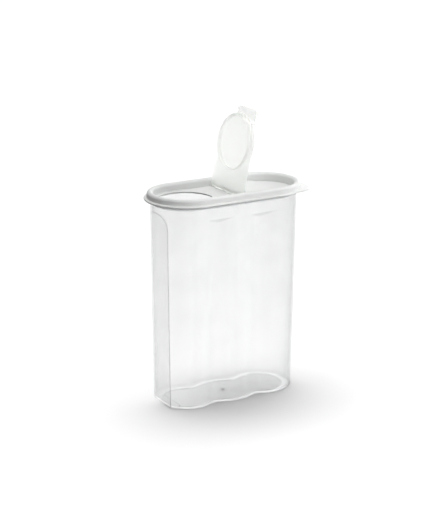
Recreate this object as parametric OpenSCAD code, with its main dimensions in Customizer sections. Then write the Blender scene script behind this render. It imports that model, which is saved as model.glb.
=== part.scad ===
// Cereal container with a flip spout: a fluted, drafted tub, a press-on lid with a hollow
// raised rim, and a flip cap on two stub pins that plugs the round pour opening.
// Millimetres, +Z up. Origin at the middle of the overall length, pull tab included, on the
// surface it stands on. +X points to the pull tab, -X to the pour opening.

/* [Overall] */
// Distance between the centres of the two round ends
span = 97.2; // [80:0.2:120]
// Height from the table to the crest of the lid's rim
overall_h = 240; // [200:1:280]

/* [Tub] */
// Outer radius of the round ends at the table
tub_base_r = 35.8; // [33:0.1:37]
// Outer radius of the round ends at the mouth
tub_top_r = 38.95; // [38.2:0.05:39.6]
// Thickness of the tub's side walls
tub_wall = 1.4; // [1:0.1:1.8]
// Thickness of the tub's floor
tub_floor = 1.6; // [1.2:0.1:2.4]
// Radius between the side wall and the underside
base_fillet = 2; // [1.6:0.2:5]
// Height of the foot ring under the floor
foot_h = 1.2; // [0.6:0.1:2]
// Distance from the side wall to the inner edge of the foot ring
foot_inset = 9.4; // [8:0.2:12]
// Outward reach of the bead round the mouth
bead_out = 2.05; // [1:0.05:2.4]
// Height of the bead round the mouth
bead_h = 5.6; // [4:0.1:7]

/* [Flutes] */
// Distance of each flute from the middle of the long side
flute_x = 26.5; // [24:0.5:28]
// Width of a flute
flute_w = 41; // [36:1:43]
// Depth of a flute
flute_depth = 5.4; // [3:0.2:7]
// Distance from the top of a flute to the tub's mouth
flute_top_gap = 23.8; // [18:0.2:40]
// Height of the sloping ledge that cuts a flute off at the top
flute_ledge = 5.4; // [4:0.2:12]

/* [Grip recess] */
// Depth of the flat recess in the pouring end
recess_depth = 4.7; // [3:0.1:6]
// Distance from the top of the arch to the tub's mouth
recess_top_gap = 18; // [12:0.5:40]
// Width of the arch at the top of the recess
recess_w = 37.2; // [30:0.2:44]
// Radius of the arch's two corners
recess_corner_r = 15.5; // [8:0.5:17]

/* [Lid] */
// Thickness of the lid's walls
lid_wall = 1.4; // [1.1:0.1:1.8]
// Gap between the lid's channel and the tub's rim
lid_gap = 0.3; // [0.2:0.05:0.5]
// Depth of the panel below the crest of the rim
panel_sink = 9; // [7.5:0.5:14]
// Thickness of the panel
panel_t = 1.5; // [1.2:0.1:2]
// Radius where the panel meets the inner wall of the rim
panel_fillet = 1.2; // [0.8:0.1:2.4]
// Height of the step that the hinge side of the panel stands on
step_h = 0.8; // [0.4:0.1:1.2]
// Distance from the middle of the lid to the step
step_x = 61.8; // [54:0.2:66]
// Radius of the curved step
step_r = 146; // [100:2:250]
// Reach of the flange beyond the rim
flange_out = 3.2; // [2:0.1:5]
// Thickness of the flange
flange_t = 2; // [1.6:0.1:2.4]
// Height of the crest above the flange's upper face
crest_h = 6.8; // [6:0.2:9]
// Reach of the pull tab beyond the flange
pull_out = 9.9; // [6:0.1:14]
// Radius of the pull tab's outline
pull_r = 39.1; // [32:0.1:44]
// Downward slope of the pull tab in degrees
pull_slope = 20; // [5:1:26]

/* [Pour opening] */
// Radius of the pour opening
pour_r = 30.9; // [26:0.1:31.5]
// Distance of the pour opening beyond the centre of the round end
pour_dx = 1; // [0:0.1:1.6]

/* [Flip cap] */
// Distance of the hinge axis from the middle of the lid
hinge_x = 4.8; // [0:0.2:10]
// Height of the hinge axis above the panel
hinge_up = 2.3; // [2.2:0.1:3]
// Radius of the hinge knuckle
knuckle_r = 1.9; // [1.7:0.1:2]
// Radius of the stub pins
pin_r = 1.5; // [1:0.1:1.6]
// Radial gap between a stub pin and its hole
pin_gap = 0.08; // [0.04:0.01:0.1]
// Thickness of the cap's plate
cap_t = 1.8; // [1.4:0.1:2]
// Gap between the sides of the cap's disc and the rim when the cap is shut
cap_edge_gap = 0.45; // [0.4:0.05:1.5]
// Reach of the cap's disc beyond the middle of the pour opening
cap_reach = 32.4; // [31.6:0.1:34]
// Gap between the cap and the fillet under its edge when the cap is shut
cap_gap = 0.45; // [0.3:0.05:0.6]
// Gap between the plug ring and the pour opening
plug_gap = 0.3; // [0.2:0.05:0.5]
// Height of the plug ring
plug_h = 4; // [3:0.5:7]
// Thickness of the plug ring
plug_wall = 1.4; // [1.1:0.1:2]
// Half width of the arm at its waist
arm_waist = 28.2; // [24:0.2:31]
// Gap between each end of the hinge knuckle and the rim
arm_gap = 0.6; // [0.5:0.1:2]
// Width of the lift tab
tab_w = 39; // [24:1:42]
// Reach of the lift tab beyond the cap's disc
tab_out = 6.6; // [3:0.2:9]
// Length of the lift tab
tab_len = 15.6; // [12:0.2:18]
// Radius of the lift tab's corners
tab_corner_r = 4; // [2:0.5:6]
// Gap between the lift tab and the crest of the rim when the cap is shut
tab_gap = 0.6; // [0.4:0.1:1.5]
// Thickness of the lift tab
tab_t = 1.6; // [1.2:0.1:2]
// Length of each stub pin inside its hole
pin_len = 1.1; // [0.8:0.1:1.2]
// Opening angle of the flip cap from shut
cap_open = 101; // [0:1:160]

/* [Hidden] */
$fn = 96;

// A cut's small and large overshoot
eps = 0.01;
over = 20;
// Centre of each round end
end_x = span / 2;
// Place of the tub's middle, half the pull tab's reach off the middle of the overall length
mid_x = -pull_out / 2;

// The tub's mouth keeps the lid's gap below the crest of the lid's channel
mouth_z = overall_h - lid_wall - lid_gap;
panel_z = overall_h - panel_sink;
panel_base_z = panel_z - panel_t - step_h;

// The lid's rim is a hollow channel that is closed at the top by a half round. Its inner wall
// clears the drafted tub at the panel's lowest face
channel_in = tub_r(panel_base_z) - tub_wall - lid_gap;
channel_out = tub_top_r + bead_out + lid_gap;
rim_in = channel_in - lid_wall;
rim_out = channel_out + lid_wall;
rim_mid = (rim_in + rim_out) / 2;
rim_half = (rim_out - rim_in) / 2;
channel_half = (channel_out - channel_in) / 2;
rim_top_z = overall_h - rim_half;
flange_z = overall_h - crest_h - flange_t;
flange_r = rim_out + flange_out;

// The tub's mouth ends in a narrow flat
mouth_flat = 0.5;
mouth_round = (tub_wall + bead_out - mouth_flat) / 2;
cavity_z = foot_h + tub_floor;
cavity_fillet = max(base_fillet - tub_wall, 1);
flute_z = mouth_z - flute_top_gap;
recess_z = mouth_z - recess_top_gap;
bead_z = mouth_z - bead_h;

// The flip cap, measured from its hinge axis with the cap shut
pour_x = -(end_x + pour_dx);
hinge_z = panel_z + hinge_up;
cap_side = rim_in - cap_edge_gap;
cap_tip = min(cap_reach, cap_side - pour_dx);
cap_lift = panel_fillet - sqrt(pow(panel_fillet, 2) - pow(max(panel_fillet - cap_edge_gap, 0), 2)) + cap_gap;
plate_z = cap_lift - hinge_up;
disc_x = pour_x - hinge_x;
tab_z = overall_h + tab_gap - hinge_z;
tab_end = disc_x - cap_tip - tab_out;
plug_r = pour_r - plug_gap;
arm_hinge = rim_in - arm_gap;
// Gap round the knuckle where its seat is cut into the panel's fillet
seat_gap = 0.35;
// Share of the hinge's distance from the disc's middle over which the arm flares
arm_flare = 0.55;
// Width over which the arm rounds into the disc
arm_blend = 3;

// Steps along each part of the tub's outline, and from row to row
END_STEPS = 12;
SIDE_STEPS = 28;
CHEEK_STEPS = 8;
FACE_STEPS = 5;
ROUND_STEPS = 4;
LEDGE_STEPS = 5;
ARCH_STEPS = 8;
// Steps along the cap's arm, and round each half of its tip
CAP_STEPS = 28;
// Smallest distance between two rows of the wall
row_gap = 0.2;
// Width of the short slope at the edge of the grip recess
edge_w = 0.35;

// Outer radius of the tub's round ends at a height
function tub_r(z) = tub_base_r + (tub_top_r - tub_base_r) * z / mouth_z;

// Numbers in rising order, each once
function sorted(v) =
    len(v) < 2 ? v :
    let (pivot = v[floor(len(v) / 2)])
    concat(
        sorted([for (x = v) if (x < pivot) x]),
        [pivot],
        sorted([for (x = v) if (x > pivot) x])
    );

// Depth of the flutes at a place along the side, as a raised cosine
function flute_at(x) =
    let (t = (abs(x) - flute_x) / (flute_w / 2))
    abs(t) >= 1 ? 0 : flute_depth * (1 + cos(180 * t)) / 2;

// The same at a height: the sloping ledge cuts it off, so the ledge shows as a crescent
function flute_press(x, z) =
    min(flute_at(x), flute_depth * max(flute_z - z, 0) / flute_ledge);

// Half width of the grip recess at a height: an arch with round corners, grown by a wall
function arch_half(z, grow) =
    let (corner = recess_corner_r + grow, up = z - (recess_z - recess_corner_r))
    recess_w / 2 + grow - corner + sqrt(max(pow(corner, 2) - pow(max(up, 0), 2), 0));

// Half width over which the outline follows the recess: its arch, or the chord of the flat
function recess_half(r, z, flat, grow) =
    min(arch_half(min(z, recess_z + grow), grow), sqrt(r * r - flat * flat));

// Half of the tub's outline, from the middle of the +X end round the +Y side to the -X end.
// open is 1 where the grip recess is cut into the wall
function half_outline(r, z, grow, open) =
    let (
        flat = r - recess_depth,
        half = recess_half(r, z, flat, grow),
        turn = acos(half / r)
    )
    concat(
        [for (i = [0 : END_STEPS - 1])
            let (a = 90 * i / END_STEPS)
            [end_x + r * cos(a), r * sin(a)]],
        [for (i = [0 : SIDE_STEPS - 1])
            let (x = end_x - span * i / SIDE_STEPS)
            [x, r - flute_press(x, z)]],
        [for (i = [0 : CHEEK_STEPS])
            let (a = 90 + turn * i / CHEEK_STEPS)
            [-end_x + r * cos(a), r * sin(a)]],
        [for (i = [0 : FACE_STEPS])
            let (
                y = (half - edge_w) * (1 - i / FACE_STEPS),
                reach = sqrt(r * r - y * y)
            )
            [-end_x - (open == 1 ? min(reach, flat) : reach), y]]
    );

// The whole outline: the half and its mirror image
function outline(r, z, grow, open) =
    let (half = half_outline(r, z, grow, open), last = len(half) - 1)
    concat(half, [for (i = [last - 1 : -1 : 1]) [half[i][0], -half[i][1]]]);

// Numbers in rising order, without those that lie too close below the next one
function spaced(v) = [
    for (i = [0 : len(v) - 1])
    if (i == len(v) - 1 || v[i + 1] - v[i] > row_gap) v[i]
];

// Heights of the rows over the ledges of the flutes and the arch of the grip recess
function wall_zs(grow) = spaced(sorted(concat(
    [for (i = [0 : LEDGE_STEPS]) flute_z - flute_ledge * (1 - i / LEDGE_STEPS)],
    [for (i = [0 : ARCH_STEPS])
        recess_z - recess_corner_r + (recess_corner_r + grow) * sin(90 * i / ARCH_STEPS)]
)));

// Rows of the tub's outside as [radius, height, grow, open]. The end rows stay round, so that
// no triangle across them has its corners in one line
function outside_rows() = concat(
    [[tub_r(0) - foot_inset, foot_h, 0, 0], [tub_r(0) - foot_inset, 0, 0, 0]],
    [for (i = [0 : ROUND_STEPS])
        let (a = 90 * i / ROUND_STEPS, z = base_fillet * (1 - cos(a)))
        [tub_r(z) - base_fillet * (1 - sin(a)), z, 0, 1]],
    [for (z = wall_zs(0)) [tub_r(z), z, 0, 1]],
    [
        [tub_r(recess_z), recess_z, 0, 0],
        [tub_r(bead_z), bead_z, 0, 0],
        [tub_top_r + bead_out, bead_z + bead_out / 2, 0, 0]
    ],
    [for (i = [0 : ROUND_STEPS])
        let (a = 90 * i / ROUND_STEPS)
        [tub_top_r + bead_out - mouth_round * (1 - cos(a)), mouth_z - mouth_round * (1 - sin(a)), 0, 0]]
);

// Rows of the tub's hollow, from the mouth down to the floor
function inside_rows() =
    let (zs = wall_zs(tub_wall), top = len(zs) - 1)
    concat(
        [for (i = [0 : ROUND_STEPS])
            let (a = 90 * (1 - i / ROUND_STEPS))
            [
                tub_top_r - tub_wall + mouth_round * (1 - cos(a)),
                mouth_z - mouth_round * (1 - sin(a)),
                tub_wall,
                0
            ]],
        [[tub_r(zs[top]) - tub_wall, zs[top], tub_wall, 0]],
        [for (i = [top : -1 : 0]) [tub_r(zs[i]) - tub_wall, zs[i], tub_wall, 1]],
        [for (i = [0 : ROUND_STEPS])
            let (a = 90 * (1 - i / ROUND_STEPS), z = cavity_z + cavity_fillet * (1 - cos(a)))
            [tub_r(z) - tub_wall - cavity_fillet * (1 - sin(a)), z, tub_wall, 1]],
        [[tub_r(0) - foot_inset, cavity_z, tub_wall, 0]]
    );

// Triangles across one ring of points, joined to their mirror images on the other side
function end_faces(first, count, flip) = [
    for (k = [0 : count / 2 - 1])
    let (a = first + k, b = a + 1, c = first + (count - k - 1) % count, d = first + (count - k) % count)
    each concat(
        b == c ? [] : [flip ? [a, b, c] : [c, b, a]],
        a == d ? [] : [flip ? [a, c, d] : [d, c, a]]
    )
];

// Closed solid through rows of [radius, height, grow, open], each row one outline of the tub
module loft(rows) {
    rings = [for (p = rows) [for (q = outline(p[0], p[1], p[2], p[3])) [q[0], q[1], p[1]]]];
    count = len(rings[0]);
    last = len(rings) - 1;
    walls = [
        for (j = [0 : last - 1])
        for (i = [0 : count - 1])
        let (a = j * count + i, b = j * count + (i + 1) % count)
        each [[a, a + count, b + count], [a, b + count, b]]
    ];
    polyhedron(
        points = [for (ring = rings) each ring],
        faces = concat(end_faces(0, count, true), walls, end_faces(last * count, count, false)),
        convexity = 8
    );
}

// The tub: drafted fluted wall, grip recess at the pouring end, foot ring and mouth bead,
// as one skin that runs up the outside, over the mouth and down to the floor
module tub() {
    color([0.93, 0.95, 0.95, 0.45])
    translate([mid_x, 0, 0])
    loft(concat(outside_rows(), inside_rows()));
}

// Section of the lid's rim, with the radius from the round end's centre across and height up
module rim_section() {
    difference() {
        union() {
            translate([rim_mid, rim_top_z]) circle(rim_half);
            translate([rim_in, panel_z - panel_t]) square([lid_wall, rim_top_z - panel_z + panel_t]);
            translate([rim_mid, flange_z]) square([rim_half, rim_top_z - flange_z]);
            translate([channel_out, flange_z])
                square([flange_r - channel_out - flange_t / 2, flange_t]);
            translate([flange_r - flange_t / 2, flange_z + flange_t / 2]) circle(flange_t / 2);
            difference() {
                translate([rim_in - panel_fillet, panel_z - panel_t])
                    square([panel_fillet + eps, panel_t + panel_fillet]);
                translate([rim_in - panel_fillet, panel_z + panel_fillet]) circle(panel_fillet);
            }
        }
        translate([rim_mid, rim_top_z]) circle(channel_half);
        translate([channel_in, flange_z - over])
            square([2 * channel_half, rim_top_z - flange_z + over]);
    }
}

// The rim: two half turns at the ends and two straight runs between them
module rim() {
    for (side = [-1, 1]) {
        translate([side * end_x, 0, 0])
            rotate([0, 0, side * 90 - 180])
            rotate_extrude(angle = 180)
            rim_section();
        translate([-side * end_x, 0, 0])
            rotate([90, 0, side * 90])
            linear_extrude(span)
            rim_section();
    }
}

// Flat outline with round ends, grown to a radius
module stadium(r) {
    translate([-end_x, 0]) circle(r);
    translate([end_x, 0]) circle(r);
    translate([-end_x, -r]) square([span, 2 * r]);
}

// The sunken panel: its hinge side stands one step above the pull-tab side
module panel() {
    r = rim_in + lid_wall / 2;
    translate([0, 0, panel_z - panel_t])
        linear_extrude(panel_t)
        intersection() {
            stadium(r);
            translate([step_x - step_r, 0]) circle(step_r, $fn = 360);
        }
    translate([0, 0, panel_base_z])
        linear_extrude(panel_t)
        difference() {
            stadium(r);
            translate([step_x - step_r, 0]) circle(step_r - panel_t, $fn = 360);
        }
}

// The pull tab: a sloping lip that widens the flange at the end away from the spout
module pull_tab() {
    reach = flange_r + pull_out + over;
    intersection() {
        translate([end_x, 0, 0])
            rotate([0, 0, -90])
            rotate_extrude(angle = 180)
            polygon([
                [channel_out + lid_wall / 2, flange_z + flange_t],
                [flange_r - flange_t / 2, flange_z + flange_t],
                [reach, flange_z + flange_t - (reach - flange_r) * tan(pull_slope)],
                [reach, flange_z - (reach - flange_r) * tan(pull_slope)],
                [flange_r - flange_t / 2, flange_z],
                [channel_out + lid_wall / 2, flange_z]
            ]);
        translate([end_x + flange_r + pull_out - pull_r, 0, flange_z - over])
            cylinder(h = over * 2, r = pull_r, $fn = 180);
    }
}

// One side's hinge hole, and the seat that lets the knuckle turn clear of the panel's fillet
module hinge_cut() {
    translate([hinge_x, rim_in - eps, hinge_z])
        rotate([-90, 0, 0])
        cylinder(h = lid_wall + 2 * eps, r = pin_r + pin_gap);
    translate([hinge_x, rim_in - panel_fillet - eps, hinge_z])
        rotate([-90, 0, 0])
        cylinder(h = panel_fillet + eps, r = knuckle_r + seat_gap);
}

// The lid: rim, sunken panel, pull tab, pour opening and the two hinge holes
module lid() {
    color([0.97, 0.97, 0.96])
    translate([mid_x, 0, 0])
    difference() {
        union() {
            rim();
            panel();
            pull_tab();
        }
        translate([pour_x, 0, panel_z - over / 2])
            cylinder(h = over, r = pour_r);
        hinge_cut();
        mirror([0, 1, 0]) hinge_cut();
    }
}

// Half width of the arm at a distance from the hinge
function arm_half(d) =
    arm_waist + (arm_hinge - arm_waist) * pow(1 - min(d / (-disc_x * arm_flare), 1), 2);

// The larger of two widths, with the change-over rounded
function wider(a, b) =
    let (gap = max(arm_blend - abs(a - b), 0))
    max(a, b) + gap * gap / arm_blend / 4;

// Half of the cap's flat outline, from the hinge to the tip: the arm, then the disc, which is
// as wide as the rim allows and a little shorter at the tip
function cap_half() = concat(
    [for (i = [0 : CAP_STEPS - 1])
        let (d = -disc_x * i / CAP_STEPS, u = (d + disc_x) / cap_tip)
        [-d, wider(arm_half(d), cap_side * sqrt(max(1 - u * u, 0)))]],
    [for (i = [0 : CAP_STEPS])
        let (a = 90 * i / CAP_STEPS)
        [disc_x - cap_tip * sin(a), cap_side * cos(a)]]
);

// Flat outline of the disc and the arm that flares out to the hinge
module cap_outline() {
    half = cap_half();
    polygon(concat(half, [for (i = [len(half) - 2 : -1 : 0]) [half[i][0], -half[i][1]]]));
}

// The lift tab: a riser on the disc and a lip that reaches out over the lid's rim
module lift_tab() {
    riser_x = tab_end + tab_len - tab_t;
    translate([riser_x, -tab_w / 2, plate_z + cap_t / 2])
        cube([tab_t, tab_w, tab_z - plate_z - cap_t / 2 + tab_t]);
    translate([0, 0, tab_z])
        linear_extrude(tab_t)
        union() {
            translate([tab_end + tab_corner_r, -tab_w / 2]) square([tab_len - tab_corner_r, tab_w]);
            translate([tab_end, -tab_w / 2 + tab_corner_r])
                square([tab_corner_r, tab_w - 2 * tab_corner_r]);
            for (side = [-1, 1])
                translate([tab_end + tab_corner_r, side * (tab_w / 2 - tab_corner_r)])
                circle(tab_corner_r);
        }
}

// The flip cap on its hinge axis, shut
module cap_shut() {
    translate([0, 0, plate_z]) linear_extrude(cap_t) cap_outline();
    rotate([90, 0, 0])
        translate([0, 0, -arm_hinge])
        cylinder(h = 2 * arm_hinge, r = knuckle_r);
    rotate([90, 0, 0])
        translate([0, 0, -arm_hinge - arm_gap - pin_len])
        cylinder(h = 2 * (arm_hinge + arm_gap + pin_len), r = pin_r);
    translate([disc_x, 0, plate_z - plug_h])
        difference() {
            cylinder(h = plug_h + cap_t / 2, r = plug_r);
            translate([0, 0, -eps]) cylinder(h = plug_h + eps, r = plug_r - plug_wall);
        }
    lift_tab();
}

// The flip cap, swung open on its stub pins
module flip_cap() {
    color([0.95, 0.96, 0.95, 0.7])
    translate([mid_x + hinge_x, 0, hinge_z])
    rotate([0, cap_open, 0])
    cap_shut();
}

tub();
lid();
flip_cap();
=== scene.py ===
"""Looks of a cereal container: clear fluted tub, white press-on lid and milky flip cap.

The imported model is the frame. The three mouldings are skinned again with fine, rounded meshes on the
same sizes, and each gets the finish of its plastic. Sizes are millimetres unless they say otherwise,
and meshes are metres.
"""

import logging
import math
from collections.abc import Callable, Sequence
from dataclasses import dataclass, field
from enum import Enum

import bpy
from mathutils import Matrix, Vector
from mathutils.geometry import delaunay_2d_cdt


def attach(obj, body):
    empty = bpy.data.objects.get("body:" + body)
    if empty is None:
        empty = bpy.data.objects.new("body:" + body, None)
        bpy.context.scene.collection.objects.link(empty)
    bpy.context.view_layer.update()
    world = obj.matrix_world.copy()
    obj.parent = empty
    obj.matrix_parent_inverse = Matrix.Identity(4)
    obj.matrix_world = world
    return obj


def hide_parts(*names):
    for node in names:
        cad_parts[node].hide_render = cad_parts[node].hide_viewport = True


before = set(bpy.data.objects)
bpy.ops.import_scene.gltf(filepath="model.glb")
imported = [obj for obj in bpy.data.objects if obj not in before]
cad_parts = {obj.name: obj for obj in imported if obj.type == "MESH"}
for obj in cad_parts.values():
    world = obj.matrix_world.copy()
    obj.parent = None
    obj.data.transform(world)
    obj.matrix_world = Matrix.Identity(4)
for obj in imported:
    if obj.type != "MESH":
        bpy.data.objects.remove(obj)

LOG = logging.getLogger("cereal_container")
MM = 0.001
BLACK = (0.0, 0.0, 0.0, 1.0)
WHITE = (1.0, 1.0, 1.0, 1.0)
NOISE_BAND = (0.3, 0.7)  # values between which soft noise mostly lies
NOISE_DETAIL = 2.0  # octaves of finer noise on top
MIX_FIRST, MIX_SECOND = 2, 3  # the Mix node's sockets for two numbers
MIX_FIRST_COLOUR, MIX_SECOND_COLOUR = 6, 7  # its sockets for two colours
MIX_COLOUR = 2  # its output for a colour
PLAN_CLOSE = 1e-7  # plan points nearer than this are one

Point = tuple[float, float, float]
Flat = tuple[float, float]


class Body(Enum):
    """The bodies that pieces ride on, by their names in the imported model."""

    CONTAINER = "container"
    LID = "lid"
    FLIP_CAP = "flip_cap"


class Face(Enum):
    """Which way a flat sheet of a moulding looks."""

    UP = 1
    DOWN = -1


# ---------------------------------------------------------------------------------------------
# Small tools
# ---------------------------------------------------------------------------------------------


def linear(code: str) -> tuple[float, float, float, float]:
    """Turns an sRGB hex colour into linear RGBA.

    Args:
        code: a colour such as "#F2F3F2".

    Returns:
        Red, green, blue and an alpha of 1, linear.
    """
    parts = [int(code[i : i + 2], 16) / 255 for i in (1, 3, 5)]
    lin = [p / 12.92 if p <= 0.04045 else ((p + 0.055) / 1.055) ** 2.4 for p in parts]  # sRGB's curve
    return (lin[0], lin[1], lin[2], 1.0)


def ease(t: float) -> float:
    """Smooth step from 0 to 1."""
    t = min(max(t, 0.0), 1.0)
    return t * t * (3 - 2 * t)


def arc(steps: int, start: float = 0.0, end: float = 90.0) -> list[float]:
    """Angles in radians from start to end, both in degrees and both kept."""
    return [math.radians(start + (end - start) * i / steps) for i in range(steps + 1)]


def soft_max(a: float, b: float, blend: float) -> float:
    """The larger of two numbers, with the change-over rounded over a width of blend."""
    gap = max(blend - abs(a - b), 0.0) / blend
    return max(a, b) + gap * gap * blend / 4


def add_node(
    tree: bpy.types.NodeTree, kind: str, inputs: dict | None = None, **settings: object
) -> bpy.types.Node:
    """Adds a node with its settings, its values and its links.

    Args:
        tree: the node tree that gets the node.
        kind: the node's type name.
        inputs: socket name or index to a value, to the output socket to link from, or to the node
            whose first output is linked.
        **settings: the node's own properties.

    Returns:
        The new node.
    """
    node = tree.nodes.new(kind)
    for key, value in settings.items():
        setattr(node, key, value)
    for key, value in (inputs or {}).items():
        source = value.outputs[0] if isinstance(value, bpy.types.Node) else value
        if isinstance(source, bpy.types.NodeSocket):
            tree.links.new(source, node.inputs[key])
        else:
            node.inputs[key].default_value = source
    return node


def melt_surface(
    tree: bpy.types.NodeTree, cloud_size: float, relief_size: float, depth: float, strength: float
) -> tuple[bpy.types.NodeSocket, bpy.types.NodeSocket]:
    """Adds the faint clouds that a melt leaves when it cools, and the small relief of its surface.

    Args:
        tree: the material's tree.
        cloud_size: size of the clouds in mm.
        relief_size: size of the relief's waves or grains in mm.
        depth: depth of the relief in mm.
        strength: how strongly the relief tilts the surface, from 0 to 1.

    Returns:
        The clouds' value, and the tilted normal.
    """
    place = add_node(tree, "ShaderNodeTexCoord").outputs["Object"]
    noises = []
    for size in (cloud_size, relief_size):
        inputs = {"Vector": place, "Scale": 1 / (size * MM), "Detail": NOISE_DETAIL}
        noises.append(add_node(tree, "ShaderNodeTexNoise", inputs).outputs[0])
    cloud, relief = noises
    bump = add_node(tree, "ShaderNodeBump", {"Height": relief, "Strength": strength, "Distance": depth * MM})
    return cloud, bump.outputs["Normal"]


def new_piece(
    name: str,
    points: Sequence[Point],
    faces: Sequence[Sequence[int]],
    material: bpy.types.Material,
    sharp_angle: float = 35.0,
) -> bpy.types.Object:
    """Makes a smooth mesh piece from points in millimetres.

    Args:
        name: the piece's name.
        points: corners in millimetres, in the model's frame.
        faces: corner numbers of each face, turned outwards.
        material: the finish of the whole piece.
        sharp_angle: edges sharper than this many degrees stay crisp.

    Returns:
        The piece, at the origin, with its place in its mesh.
    """
    mesh = bpy.data.meshes.new(name)
    mesh.from_pydata([Vector(p) * MM for p in points], [], [list(f) for f in faces])
    mesh.validate()
    mesh.materials.append(material)
    mesh.polygons.foreach_set("use_smooth", [True] * len(mesh.polygons))
    mesh.set_sharp_from_angle(angle=math.radians(sharp_angle))
    piece = bpy.data.objects.new(name, mesh)
    bpy.context.scene.collection.objects.link(piece)
    return piece


def mark_points(piece: bpy.types.Object, name: str, values: Sequence[float]) -> None:
    """Gives each point of a piece a number that its finish reads by name."""
    piece.data.attributes.new(name, "FLOAT", "POINT").data.foreach_set("value", list(values))


def bake_tree(piece: bpy.types.Object, tree: bpy.types.NodeTree, sizes: dict[str, float]) -> None:
    """Runs a geometry tree on a piece and keeps the result as its plain mesh.

    Args:
        piece: the piece whose mesh goes in, and is replaced.
        tree: the geometry node tree.
        sizes: the tree's named inputs, set by their sockets' identifiers.
    """
    modifier = piece.modifiers.new(tree.name, "NODES")
    modifier.node_group = tree
    for socket in tree.interface.items_tree:
        if socket.item_type == "SOCKET" and socket.in_out == "INPUT" and socket.name in sizes:
            modifier[socket.identifier] = sizes[socket.name]
    piece.update_tag()
    graph = bpy.context.evaluated_depsgraph_get()
    result = bpy.data.meshes.new_from_object(piece.evaluated_get(graph))
    piece.modifiers.remove(modifier)
    piece.data = result


def geometry_tree(name: str, sizes: Sequence[str]) -> bpy.types.NodeTree:
    """Starts a geometry tree with a mesh input, a mesh output and named lengths in metres.

    Args:
        name: the tree's name.
        sizes: the names of its number inputs.

    Returns:
        The tree, with its sockets and no nodes.
    """
    tree = bpy.data.node_groups.new(name, "GeometryNodeTree")
    tree.interface.new_socket("Geometry", in_out="INPUT", socket_type="NodeSocketGeometry")
    tree.interface.new_socket("Geometry", in_out="OUTPUT", socket_type="NodeSocketGeometry")
    for size in sizes:
        tree.interface.new_socket(size, in_out="INPUT", socket_type="NodeSocketFloat")
    return tree


# ---------------------------------------------------------------------------------------------
# Finishes
# ---------------------------------------------------------------------------------------------


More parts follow.
